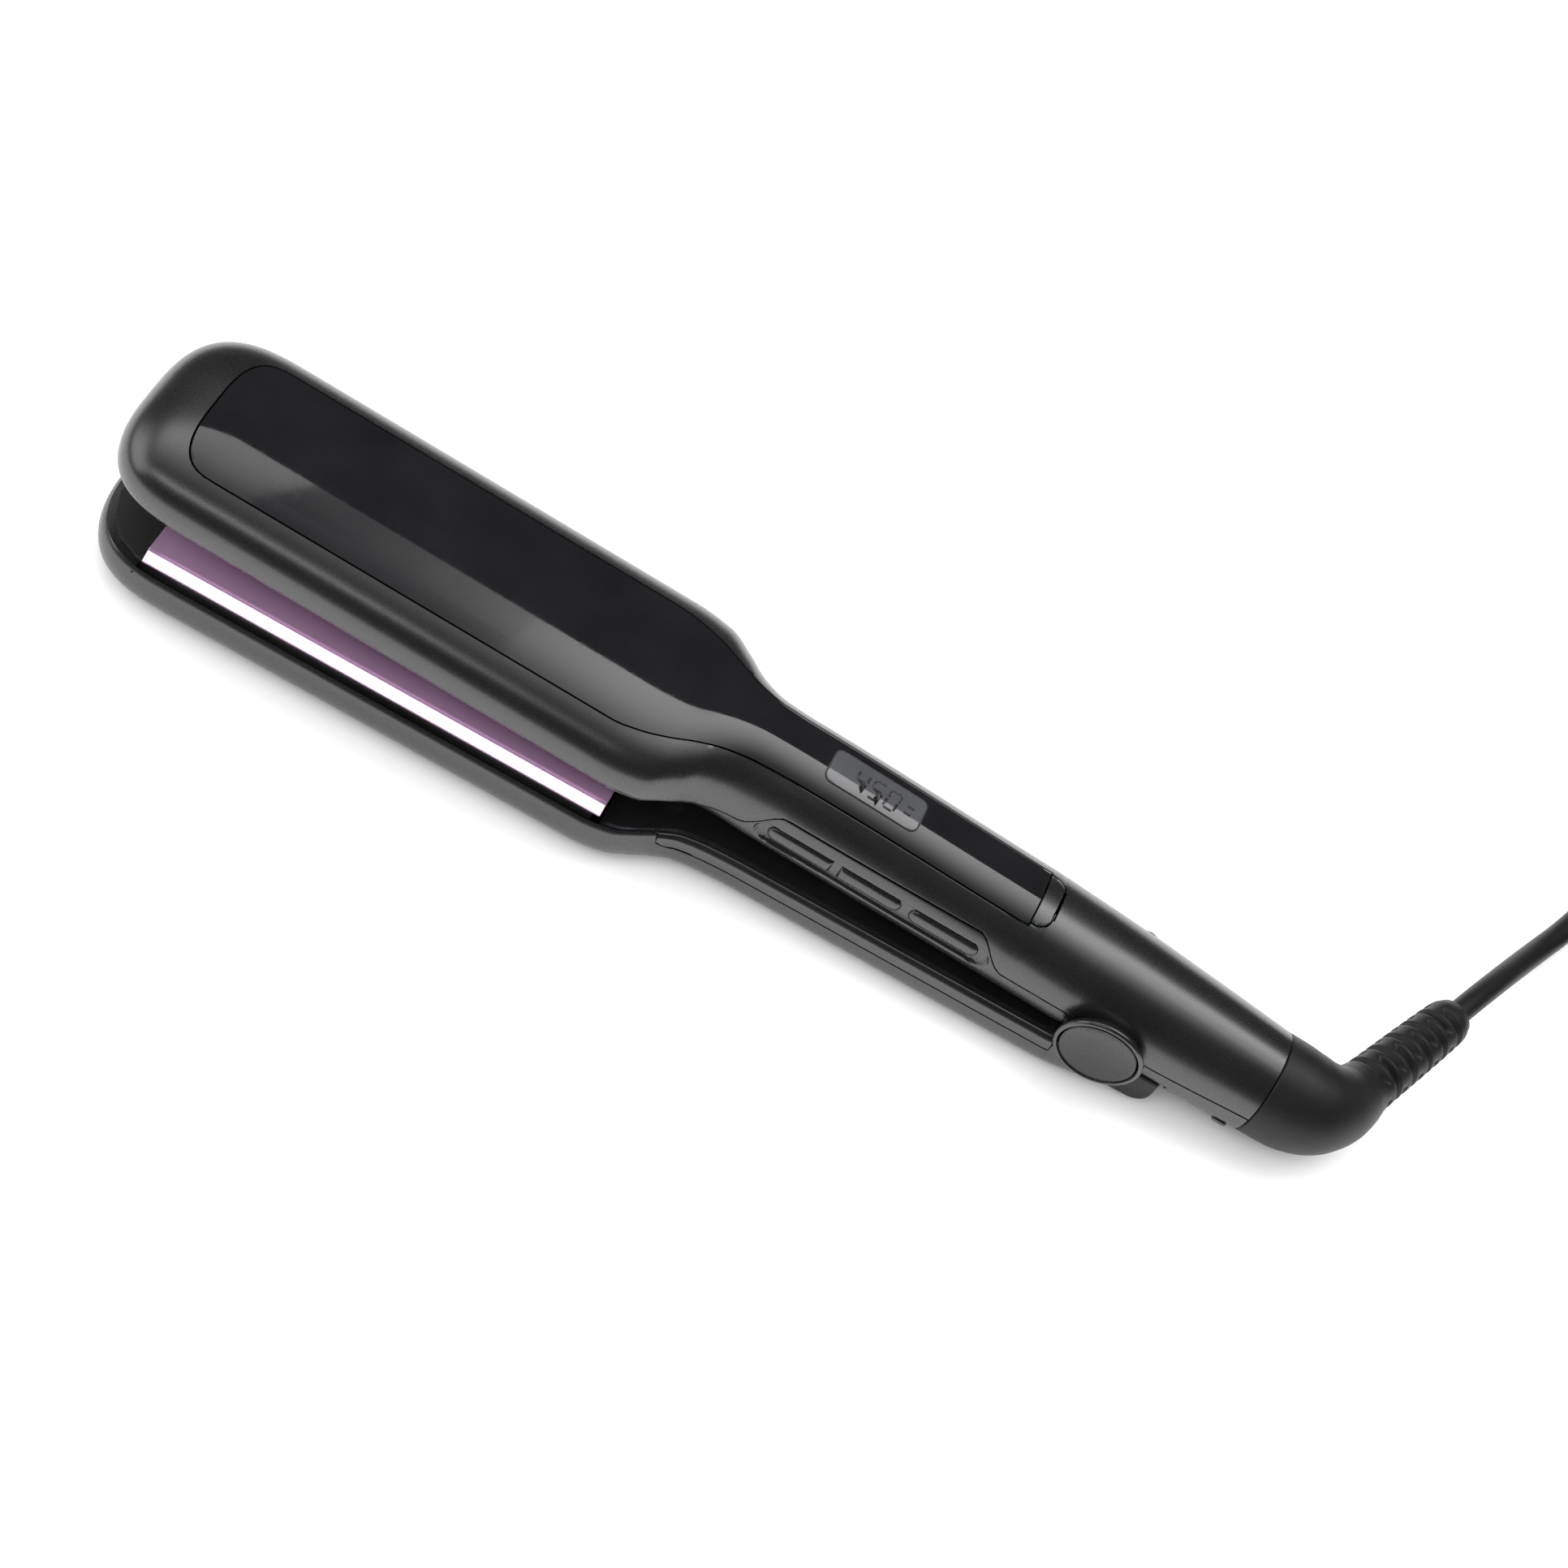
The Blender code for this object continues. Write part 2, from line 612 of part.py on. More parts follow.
def make_handle_trim():
    trim = handle_shell("handle_trim", WALL)
    shapes = [handle_seam_prism("trim_keep_" + side, side == "near", 0.0) for side in ("near", "far")]
    boolean(shapes[0], finish_guide(shapes[1], HANDLE), "UNION")
    boolean(trim, finish_guide(shapes[0], HANDLE), "INTERSECT")
    floor = deck("trim_floor", HANDLE_SECTIONS, HANDLE_DECK, HANDLE_DECK + DECK_THICK, HANDLE_DECK_INSET)
    narrow = box("trim_tie", (-93 * MM, -13.2 * MM, HANDLE_DECK + 0.4 * MM),
                 (-15 * MM, 13.2 * MM, HANDLE_DECK + 1.6 * MM))
    boolean(trim, finish_guide(narrow, HANDLE), "UNION")
    boolean(trim, finish_guide(floor, HANDLE), "UNION")
    for name, front, rear in BUTTONS:
        outline = pill(front * MM - BUTTON_CLEARANCE, rear * MM + BUTTON_CLEARANCE, BUTTON_HEIGHT_MM * MM,
                       BUTTON_HALF_MM * MM + BUTTON_CLEARANCE)
        hole = prism(name + "_hole", outline, -20 * MM, -9 * MM, sideways=True)
        boolean(trim, finish_guide(hole, HANDLE), "DIFFERENCE")
    for x in SCREW_X:
        cut_screw_seat(trim, Vector((x, 0.0, HANDLE_DECK)), 1, HANDLE)
    return finish_part(trim, HANDLE, SATIN)


def make_buttons():
    """Three caps that follow the side of the handle and stand a little proud of it."""
    for name, front, rear in BUTTONS:
        cap = handle_shell(name, BUTTON_DEPTH + BUTTON_PROUD, grow=BUTTON_PROUD)
        outline = pill(front * MM, rear * MM, BUTTON_HEIGHT_MM * MM, BUTTON_HALF_MM * MM)
        keep = prism(name + "_outline", outline, -20 * MM, -9 * MM, sideways=True)
        boolean(cap, finish_guide(keep, HANDLE), "INTERSECT")
        finish_part(cap, HANDLE, SATIN)


def wire(name, points_mm, radius):
    """A sleeved lead inside the housing, through points in millimetres."""
    return tube(name, [Vector(point) * MM for point in points_mm], radius, 1)


def make_handle_electronics():
    board = box("circuit_board", (-92 * MM, -8 * MM, 7.0 * MM), (-24 * MM, 8 * MM, 8.4 * MM))
    finish_part(board, HANDLE, BOARD)
    switches = box("switch_board", (-86 * MM, -10.4 * MM, 3.4 * MM), (-31 * MM, -9.2 * MM, 8.0 * MM))
    finish_part(switches, HANDLE, BOARD)
    finish_part(wire("heater_leads", UPPER_LEADS_MM, HEATER_LEAD_RADIUS), HANDLE, LEAD)
    finish_part(wire("supply_leads", SUPPLY_LEADS_MM, SUPPLY_LEAD_RADIUS), HANDLE, LEAD)


# ---------------------------------------------------------------- plates

def plate_set(prefix, frame, side):
    """Plate, heater, cushions and carrier of one arm; side is +1 above the plates, -1 below."""
    def span(near, far):
        return (min(side * near, side * far), max(side * near, side * far))

    half = PLATE_LENGTH / 2
    across = PLATE_HALF_WIDTHS[prefix]
    low, high = span(PLATE_FACE, PLATE_FACE + PLATE_THICK)
    plate = box(prefix + "_plate", (PLATE_CENTRE_X - half, -across, low),
                (PLATE_CENTRE_X + half, across, high))
    soften_long_edges(plate, -side)
    finish_part(plate, frame, PLATE)

    low, high = span(HEATER_FACE, HEATER_FACE + HEATER_SIZE.z)
    heater = box(prefix + "_heater", (PLATE_CENTRE_X - HEATER_SIZE.x / 2, -HEATER_SIZE.y / 2, low),
                 (PLATE_CENTRE_X + HEATER_SIZE.x / 2, HEATER_SIZE.y / 2, high))
    finish_part(heater, frame, CERAMIC)

    low, high = span(CUSHION_FACE, CUSHION_BACK)
    for place, shift in (("front", -CUSHION_OFFSET), ("rear", CUSHION_OFFSET)):
        centre = (PLATE_CENTRE_X + shift, 0.0, (low + high) / 2)
        cushion = cylinder(prefix + "_cushion_" + place, centre, CUSHION_RADIUS, high - low, "Z", 12)
        finish_part(cushion, frame, SILICONE)

    low, high = span(CARRIER_FACE, CARRIER_BACK)
    sections = HANDLE_SECTIONS if side > 0 else LOWER_SECTIONS
    rows = plan_rows(sections, CARRIER_STATIONS, inset=CARRIER_INSET)
    carrier = prism(prefix + "_carrier", plan_outline(rows), low, high)
    low, high = span(CARRIER_FACE - MM, POCKET_BACK)
    pocket = box(prefix + "_pocket", (PLATE_CENTRE_X - POCKET_LENGTH / 2, -POCKET_WIDTH / 2, low),
                 (PLATE_CENTRE_X + POCKET_LENGTH / 2, POCKET_WIDTH / 2, high))
    boolean(carrier, finish_guide(pocket, frame), "DIFFERENCE")
    finish_part(carrier, frame, CARRIER)


def soften_long_edges(plate, face_side):
    """Bevel only the two long edges of the working face."""
    mesh = plate.data
    weights = mesh.attributes.new("bevel_weight_edge", "FLOAT", "EDGE")
    for edge in mesh.edges:
        ends = [mesh.vertices[i].co for i in edge.vertices]
        on_face = all(end.z * face_side > 0 for end in ends)
        is_long = abs(ends[0].x - ends[1].x) > abs(ends[0].y - ends[1].y)
        weights.data[edge.index].value = 1.0 if on_face and is_long else 0.0
    modifier = plate.modifiers.new("Bevel", "BEVEL")
    modifier.width = PLATE_BEVEL
    modifier.segments = 3
    modifier.limit_method = "WEIGHT"


# ---------------------------------------------------------------- lower arm

def make_lower_cover():
    cover = arm_skin("lower_cover", LOWER_SECTIONS, LOWER_STATIONS, upside_down=True, rest=REST_DEPTH)
    solidify(cover, WALL)
    seam = [(LOWER_SEAM[0][0] * MM - GAP, 5 * MM)] + seam_points(LOWER_SEAM[1:-1], GAP, -1)
    seam += [(20 * MM, seam[-1][1]), (20 * MM, 5 * MM)]
    boolean(cover, finish_guide(prism("lower_seam_cut", seam, -40 * MM, 40 * MM, True), LOWER), "DIFFERENCE")
    stem = box("far_ear_stem", (-FAR_STEM_HALF, FAR_STEM_Y[0], -FAR_STEM_DEPTH),
               (FAR_STEM_HALF, FAR_STEM_Y[1], -PIN_RADIUS))
    boolean(cover, finish_guide(stem, LOWER), "UNION")
    ears = (("near_ear", NEAR_EAR_RADIUS, NEAR_EAR_Y), ("far_ear", FAR_EAR_RADIUS, FAR_EAR_Y))
    for name, radius, ends in ears:
        centre = (0.0, sum(ends) / 2, 0.0)
        ear = cylinder(name, centre, radius, ends[1] - ends[0], "Y", 24)
        bore = cylinder(name + "_bore", centre, PIN_RADIUS + PIN_CLEARANCE, 6 * MM, "Y", 24)
        boolean(cover, finish_guide(ear, LOWER), "UNION")
        boolean(cover, finish_guide(bore, LOWER), "DIFFERENCE")
    return finish_part(cover, LOWER, SATIN)


def make_lower_trim():
    trim = arm_skin("lower_trim", LOWER_SECTIONS, LOWER_STATIONS, upside_down=True, rest=REST_DEPTH)
    solidify(trim, WALL)
    seam = [(LOWER_SEAM[0][0] * MM, 5 * MM)] + seam_points(LOWER_SEAM[1:-1], 0.0, -1)
    seam += [(LOWER_SEAM[-1][0] * MM, 5 * MM)]
    boolean(trim, finish_guide(prism("lower_trim_keep", seam, -40 * MM, 40 * MM, True), LOWER), "INTERSECT")
    tie_z = LOWER_DECK - 0.3 * MM
    narrow = box("lower_trim_tie", (-97 * MM, -16.4 * MM, tie_z - 1.4 * MM), (-12.5 * MM, 16.4 * MM, tie_z))
    floor = deck("lower_trim_floor", LOWER_SECTIONS, LOWER_DECK, LOWER_DECK - DECK_THICK, LOWER_DECK_INSET)
    boolean(trim, finish_guide(narrow, LOWER), "UNION")
    boolean(trim, finish_guide(floor, LOWER), "UNION")
    for x in SCREW_X:
        cut_screw_seat(trim, Vector((x, 0.0, LOWER_DECK)), -1, LOWER)
    return finish_part(trim, LOWER, GLOSS)


def make_lower_leads():
    finish_part(wire("lower_heater_leads", LOWER_LEADS_MM, HEATER_LEAD_RADIUS), LOWER, LEAD)


# ---------------------------------------------------------------- hinge

def make_knuckle():
    """The block at the rear of the lower arm, with two lugs that turn on the pin."""
    low_x, high_x = KNUCKLE_X
    low_z, high_z = KNUCKLE_Z
    round_end = 6 * MM
    outline = ([(low_x, high_z), (low_x, low_z)]
               + arc((high_x - round_end, low_z + round_end), round_end, -90, 0, 5)
               + [(high_x, high_z + MM), (high_x - MM, high_z + 2 * MM), (8 * MM, high_z + 2 * MM),
                  (7 * MM, high_z)])
    block = prism("hinge_knuckle", outline, -KNUCKLE_HALF_WIDTH, KNUCKLE_HALF_WIDTH, sideways=True)
    lug = [(LUG_RADIUS, high_z - MM)] + arc((0.0, 0.0), LUG_RADIUS, 0, 180, 10) + [(-LUG_RADIUS, high_z - MM)]
    for side in (-1, 1):
        ends = sorted(side * y for y in KNUCKLE_LUG_Y)
        boolean(block, finish_guide(prism("knuckle_lug", lug, *ends, sideways=True), LOWER), "UNION")
    bore = cylinder("knuckle_bore", (0, 0, 0), PIN_RADIUS + PIN_CLEARANCE, 24 * MM, "Y", 24)
    boolean(block, finish_guide(bore, LOWER), "DIFFERENCE")
    return finish_part(block, LOWER, CARRIER)


def make_bracket():
    """The handle's inner hinge bracket: a plate over the pin with two lugs."""
    top = box("hinge_bracket", (-9 * MM, -BRACKET_LUG_Y[1], BRACKET_TOP - 1.6 * MM),
              (9 * MM, BRACKET_LUG_Y[1], BRACKET_TOP))
    lug = ([(LUG_RADIUS, BRACKET_TOP - MM), (-LUG_RADIUS, BRACKET_TOP - MM)]
           + arc((0.0, 0.0), LUG_RADIUS, 180, 360, 10))
    for side in (-1, 1):
        ends = sorted(side * y for y in BRACKET_LUG_Y)
        boolean(top, finish_guide(prism("bracket_lug", lug, *ends, sideways=True), HANDLE), "UNION")
    bore = cylinder("bracket_bore", (0, 0, 0), PIN_RADIUS + PIN_CLEARANCE, 30 * MM, "Y", 24)
    boolean(top, finish_guide(bore, HANDLE), "DIFFERENCE")
    return finish_part(top, HANDLE, STEEL)


def make_hinge_spring():
    """A torsion spring round the pin, with one leg to each arm."""
    count = SPRING_TURNS * SPRING_POINTS_PER_TURN
    points = [Vector((-SPRING_LEG, -SPRING_HALF_LENGTH, SPRING_RADIUS))]
    for step in range(count + 1):
        angle = math.pi / 2 - math.tau * step / SPRING_POINTS_PER_TURN
        y = -SPRING_HALF_LENGTH + 2 * SPRING_HALF_LENGTH * step / count
        points.append(Vector((SPRING_RADIUS * math.cos(angle), y, SPRING_RADIUS * math.sin(angle))))
    points.append(Vector((SPRING_LEG, SPRING_HALF_LENGTH, SPRING_RADIUS)))
    return finish_part(tube("hinge_spring", points, SPRING_WIRE, 1), HANDLE, STEEL)


def make_cap(name, side, place, radius, profile):
    """A cap turned about the hinge axis, with its back on its ear."""
    cap = turned(name, profile + [(radius, 0.0), (0.0, 0.0)], 28)
    cap.location = (0.0, place, 0.0)
    cap.rotation_euler = (-side * math.pi / 2, 0.0, 0.0)
    return finish_part(cap, LOWER, SATIN)


def make_pin_and_caps():
    """The pin, the large dished cap on the near side and the small plain one on the far side."""
    pin = cylinder("hinge_pin", (0, sum(PIN_Y) / 2, 0), PIN_RADIUS, PIN_Y[1] - PIN_Y[0], "Y", 24)
    finish_part(pin, HANDLE, STEEL)
    radius, thick = NEAR_CAP_RADIUS, NEAR_CAP_THICK
    near = [(0.0, thick - CAP_DISH_DEPTH), (CAP_DISH_RADIUS * 0.7, thick - CAP_DISH_DEPTH * 0.6),
            (CAP_DISH_RADIUS, thick), (radius - CAP_EDGE, thick), (radius, thick - CAP_EDGE)]
    make_cap("hinge_cap_near", -1, NEAR_CAP_Y, radius, near)
    radius, thick = FAR_CAP_RADIUS, FAR_CAP_THICK
    far = [(0.0, thick), (radius - CAP_EDGE, thick), (radius, thick - CAP_EDGE)]
    make_cap("hinge_cap_far", 1, FAR_CAP_Y, radius, far)


# ---------------------------------------------------------------- tail and cord boot

def tail_half(name, thickness):
    """The lower half of the tail between its front wall and the boot."""
    stations = (TAIL_FRONT, 24 * MM, 30 * MM, SEAM_X)
    shape = bmesh.new()
    grid = []
    steps = 12
    for x in stations:
        middle = along(HANDLE_SECTIONS, x / MM, 2) * MM
        half = along(HANDLE_SECTIONS, x / MM, 1) * MM
        drop = along(HANDLE_SECTIONS, x / MM, 4) * MM
        first = math.asin((-GAP - middle) / drop)
        line = []
        for step in range(steps + 1):
            angle = math.pi - first + (math.pi + 2 * first) * step / steps
            line.append(shape.verts.new((x, half * math.cos(angle), middle + drop * math.sin(angle))))
        grid.append(line)
    for here, there in zip(grid, grid[1:]):
        for a, b, c, d in zip(here, there, there[1:], here[1:]):
            shape.faces.new((a, b, c, d))
    shape.faces.new(grid[0])
    bmesh.ops.recalc_face_normals(shape, faces=shape.faces)
    item = object_from_bmesh(name, shape)
    return solidify(item, thickness)


def lock_direction():
    return Vector((0.0, -math.cos(LOCK_ANGLE), -math.sin(LOCK_ANGLE)))


def lock_box(name, low_x, high_x, near, far, half):
    """A box on the lower near side of the tail, between two distances from its axis."""
    item = box(name, (low_x, -half, near), (high_x, half, far))
    centre = Vector(item.location)
    out = lock_direction()
    item.location = Vector((centre.x, 0.0, TAIL_AXIS_Z)) + out * centre.z
    item.rotation_euler = (math.atan2(-out.y, out.z), 0.0, 0.0)
    return item


def make_tail():
    cover = tail_half("rear_cover", WALL)
    slot = lock_box("lock_slot", LOCK_X[0] - LOCK_TRAVEL - 0.5 * MM, LOCK_X[1] + 0.5 * MM,
                    8 * MM, 15 * MM, 1.7 * MM)
    boolean(cover, finish_guide(slot, HANDLE), "DIFFERENCE")
    finish_part(cover, HANDLE, SATIN)
    slider = lock_box("lock_slider", LOCK_X[0], LOCK_X[1], 10.2 * MM, 12.9 * MM, 1.2 * MM)
    bevel(slider, 0.5 * MM)
    finish_part(slider, HANDLE, SATIN)


def boot_path(distance):
    """The boot's centre line in the handle's frame: straight, a bend towards +Y, straight."""
    first = BOOT_BEND_START - SEAM_X - GAP
    bend = BOOT_BEND_RADIUS * BOOT_BEND_ANGLE
    start = Vector((SEAM_X + GAP, 0.0, TAIL_AXIS_Z))
    if distance <= first:
        return start + Vector((distance, 0.0, 0.0))
    angle = min((distance - first) / BOOT_BEND_RADIUS, BOOT_BEND_ANGLE)
    corner = start + Vector((first + BOOT_BEND_RADIUS * math.sin(angle),
                             BOOT_BEND_RADIUS * (1 - math.cos(angle)), 0.0))
    beyond = max(distance - first - bend, 0.0)
    return corner + Vector((math.cos(BOOT_BEND_ANGLE), math.sin(BOOT_BEND_ANGLE), 0.0)) * beyond


def make_boot():
    distances = [0.0, 3.0, 6.0, 8.5, 11.0, 13.5, 16.0, 18.5, 21.0, 23.5, 26.0, 34.0, 46.0, 58.0, 60.8]
    points = [boot_path(d * MM) for d in distances]
    radii = [along(BOOT_PROFILE_MM, d, 1) * MM for d in distances]
    boot = tube("cord_boot", points, TAIL_RADIUS, 3, radii)
    finish_part(boot, HANDLE, RUBBER)
    collar = cylinder("swivel_collar", ((COLLAR_X[0] + COLLAR_X[1]) / 2, 0, TAIL_AXIS_Z), COLLAR_RADIUS,
                      COLLAR_X[1] - COLLAR_X[0], "X", 20)
    finish_part(collar, HANDLE, CARRIER)


# ---------------------------------------------------------------- screws

def cut_screw_seat(item, mouth, side, frame):
    """A hole for the shank and a counterbore for the head; side is the way into the part."""
    hole = cylinder("screw_hole", mouth + Vector((0, 0, side * 4 * MM)), SCREW_SHANK_RADIUS + GAP,
                    12 * MM, "Z", 12)
    seat_depth = SCREW_HEAD_HEIGHT + GAP
    seat = cylinder("screw_seat", mouth + Vector((0, 0, side * (seat_depth / 2 - MM / 2))),
                    SCREW_HEAD_RADIUS + GAP, seat_depth + MM, "Z", 16)
    boolean(item, finish_guide(hole, frame), "DIFFERENCE")
    boolean(item, finish_guide(seat, frame), "DIFFERENCE")


def make_screw(name, mouth, side, frame):
    """A pan-head screw standing in its seat, turned about its own axis."""
    top = SCREW_HEAD_HEIGHT
    profile = [(0.0, top), (SCREW_HEAD_RADIUS * 0.8, top), (SCREW_HEAD_RADIUS, top * 0.6),
               (SCREW_HEAD_RADIUS, 0.0), (SCREW_SHANK_RADIUS, 0.0), (SCREW_SHANK_RADIUS, -SCREW_LENGTH),
               (0.0, -SCREW_LENGTH)]
    screw = turned(name, profile, 12)
    screw.location = mouth + Vector((0, 0, side * SCREW_HEAD_HEIGHT))
    screw.rotation_euler = (math.pi if side > 0 else 0.0, 0.0, 0.0)
    return finish_part(screw, frame, STEEL)


def make_screws():
    for number, x in enumerate(SCREW_X, 1):
        make_screw("handle_screw_%d" % number, Vector((x, 0.0, HANDLE_DECK)), 1, HANDLE)
        make_screw("lower_screw_%d" % number, Vector((x, 0.0, LOWER_DECK)), -1, LOWER)


# ---------------------------------------------------------------- lead and plug

def smooth_route(points_mm, steps):
    """Points of a smooth curve (Catmull-Rom) through a route, in metres."""
    route = [Vector(point) * MM for point in points_mm]
    padded = [2 * route[0] - route[1]] + route + [2 * route[-1] - route[-2]]
    points = []
    for a, b, c, d in zip(padded, padded[1:], padded[2:], padded[3:]):
        for step in range(steps):
            t = step / steps
            points.append(0.5 * (2 * b + (c - a) * t + (2 * a - 5 * b + 4 * c - d) * t * t
                                 + (3 * b - a - 3 * c + d) * t**3))
    return points + [route[-1]]


def thick_tube(name, route, steps, radius):
    return mesh_from_curve(tube(name, smooth_route(route, steps), radius, 2))


def make_lead():
    radius = CORD_DIAMETER / 2
    finish_part(tube("cord_lead", smooth_route(CORD_ROUTE_MM, 2), radius, 2), None, RUBBER)
    finish_part(tube("cord_tail", smooth_route(PLUG_ROUTE_MM, 1), radius, 2), None, RUBBER)

    half = COIL_ACROSS * CORD_DIAMETER / 2
    inner = COIL_TURN_RADIUS - half
    outer = COIL_TURN_RADIUS + half
    height = COIL_LAYERS * CORD_DIAMETER
    coil = cylinder("cord_coil", COIL_CENTRE + Vector((0, 0, height / 2)), outer, height, "Z", 40)
    eye = cylinder("coil_eye", COIL_CENTRE + Vector((0, 0, height / 2)), inner, height + 4 * MM, "Z", 32)
    boolean(coil, finish_guide(eye, None), "DIFFERENCE")
    into = [CORD_ROUTE_MM[-3], CORD_ROUTE_MM[-2], CORD_ROUTE_MM[-1], (216.05, 120.3, 2.9)]
    out = [(303.95, 120.3, 8.55)] + list(PLUG_ROUTE_MM)
    for name, route in (("groove_in", into), ("groove_out", out)):
        boolean(coil, finish_guide(thick_tube(name, route, 1, radius + GAP), None), "DIFFERENCE")

    across = TIE_WIDTH / 2
    gap = GAP + TIE_THICK
    low = COIL_CENTRE + Vector((-across, inner - gap, 0.0))
    high = COIL_CENTRE + Vector((across, outer + gap, height + TIE_RISE + gap))
    notch = box("tie_notch", low + Vector((-GAP, 0, -MM)), Vector((high.x + GAP, high.y, TIE_RISE)))
    boolean(coil, finish_guide(notch, None), "DIFFERENCE")
    finish_part(coil, None, RUBBER)
    tie = box("cord_tie", low, high)
    wall = Vector((-MM, TIE_THICK, TIE_THICK))
    boolean(tie, finish_guide(box("tie_inside", low + wall, high - wall), None), "DIFFERENCE")
    finish_part(tie, None, RUBBER)


def make_plug():
    low = Vector((PLUG_X - PLUG_SIZE.x / 2, PLUG_Y[0], 0.0))
    body = box("plug_body", low, low + PLUG_SIZE)
    bevel(body, 3 * MM, 2)
    shape = bmesh.new()
    bmesh.ops.create_cone(shape, cap_ends=True, segments=16, radius1=PLUG_RELIEF_RADII[0],
                          radius2=PLUG_RELIEF_RADII[1], depth=PLUG_RELIEF_LENGTH + MM,
                          matrix=Matrix.Rotation(-math.pi / 2, 4, "X"))
    relief = object_from_bmesh("plug_relief", shape)
    relief.location = (PLUG_X, PLUG_Y[1] + (PLUG_RELIEF_LENGTH - MM) / 2, PLUG_SIZE.z / 2)
    boolean(body, finish_guide(relief, None), "UNION")
    finish_part(body, None, RUBBER)
    for number, side in ((1, -1), (2, 1)):
        centre = Vector((PLUG_X + side * BLADE_OFFSET, PLUG_Y[0] - GAP - BLADE_SIZE.y / 2, PLUG_SIZE.z / 2))
        blade = box("plug_blade_%d" % number, centre - BLADE_SIZE / 2, centre + BLADE_SIZE / 2)
        finish_part(blade, None, STEEL)


# ---------------------------------------------------------------- build

clear_scene()
PARTS = new_collection("flat_iron")
CUTTERS = new_collection("cutters")
HANDLE = new_frame("handle_frame", HINGE, OPEN_ANGLE)
LOWER = new_frame("lower_frame", HINGE, 0.0)

SATIN = new_material("satin_black_plastic", (0.035, 0.036, 0.038), 0.42)
GLOSS = new_material("gloss_black_plastic", (0.01, 0.01, 0.011), 0.08)
LENS = new_material("display_lens", (0.12, 0.12, 0.12), 0.15)
PLATE = new_material("ceramic_plate", (0.19, 0.11, 0.18), 0.3, 0.8)
CARRIER = new_material("black_heatproof_plastic", (0.012, 0.012, 0.012), 0.6)
CERAMIC = new_material("heater_ceramic", (0.7, 0.68, 0.62), 0.6)
SILICONE = new_material("red_silicone", (0.35, 0.06, 0.04), 0.7)
BOARD = new_material("board_green", (0.02, 0.12, 0.05), 0.5)
LEAD = new_material("lead_sleeve", (0.75, 0.75, 0.72), 0.6)
STEEL = new_material("steel", (0.55, 0.56, 0.58), 0.3, 1.0)
RUBBER = new_material("black_rubber", (0.015, 0.015, 0.015), 0.6)

make_top_cover()
make_top_panel()
make_display()
make_end_tab()
make_handle_trim()
make_buttons()
make_handle_electronics()
plate_set("upper", HANDLE, 1)
plate_set("lower", LOWER, -1)
make_lower_cover()
make_lower_trim()
make_lower_leads()
make_knuckle()
make_bracket()
make_hinge_spring()
make_pin_and_caps()
make_tail()
make_boot()
make_screws()
make_lead()
make_plug()
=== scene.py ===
"""Looks of the wide-plate hair straightener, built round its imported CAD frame.

Units are metres in the frame.  The shells are drawn in each arm's own axes, in
millimetres from the hinge, and then set in place: the lower arm is level, and the handle
is tipped up by its opening angle.
"""

import json
import math

import bmesh
import bpy
from mathutils import Matrix, Vector


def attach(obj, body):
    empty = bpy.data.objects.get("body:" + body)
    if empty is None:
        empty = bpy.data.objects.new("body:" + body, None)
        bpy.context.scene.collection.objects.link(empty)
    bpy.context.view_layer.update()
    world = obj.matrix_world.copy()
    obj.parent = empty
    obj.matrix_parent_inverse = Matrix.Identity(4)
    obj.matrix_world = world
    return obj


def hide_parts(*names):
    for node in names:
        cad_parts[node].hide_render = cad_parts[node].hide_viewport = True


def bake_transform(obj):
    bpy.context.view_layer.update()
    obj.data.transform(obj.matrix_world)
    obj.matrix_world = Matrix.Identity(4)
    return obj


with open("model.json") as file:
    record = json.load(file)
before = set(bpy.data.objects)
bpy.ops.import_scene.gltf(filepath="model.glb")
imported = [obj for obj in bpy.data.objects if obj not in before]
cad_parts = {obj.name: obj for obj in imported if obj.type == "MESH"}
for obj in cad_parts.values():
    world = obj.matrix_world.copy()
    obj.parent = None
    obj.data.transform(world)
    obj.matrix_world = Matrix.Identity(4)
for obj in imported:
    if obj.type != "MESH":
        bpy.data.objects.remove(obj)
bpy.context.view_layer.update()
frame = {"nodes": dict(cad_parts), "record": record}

MM = 0.001

# Camera: the eye, its axes and its lens.
EYE = Vector((0.02268, -0.39178, 0.52984))
EYE_RIGHT = Vector((0.87293, 0.38032, 0.30552))
EYE_DOWN = Vector((0.48773, -0.69373, -0.52997))
EYE_FORWARD = Vector((0.01039, 0.61164, -0.79107))
LENS_MM = 69.0
SENSOR_MM = 36.0

# Lead: the same routes as in the CAD source, in metres.
CORD_DIAMETER = 0.0057
CORD_SIDES = 20
ROUTE_STEPS = 4
CORD_ROUTE = (
    (0.1868, 0.0429, 0.0126), (0.1904, 0.0510, 0.0121), (0.1947, 0.0605, 0.0104),
    (0.1992, 0.0705, 0.0074), (0.2038, 0.0805, 0.0046), (0.2083, 0.0900, 0.0032),
    (0.2122, 0.0995, 0.0029), (0.2151, 0.1100, 0.0029),
)
PLUG_ROUTE = ((0.30398, 0.1100, 0.0083), (0.3040, 0.1000, 0.0075), (0.3040, 0.0923, 0.0070))
COIL_AT = (260.0, 120.0)
COIL_CENTRE = Vector((COIL_AT[0] * MM, COIL_AT[1] * MM, 0.0))
COIL_OUTER = 0.04395
COIL_INNER = 0.02685
COIL_TURNS_ACROSS = 3.0
COIL_CLIMB_TURNS = 0.75
COIL_LOW = 0.0029
COIL_HIGH = 0.00855
COIL_STEPS = 28
TIE_ANGLE = math.pi / 2
TIE_BUMP = 0.0013
TIE_BUMP_REACH = 0.006

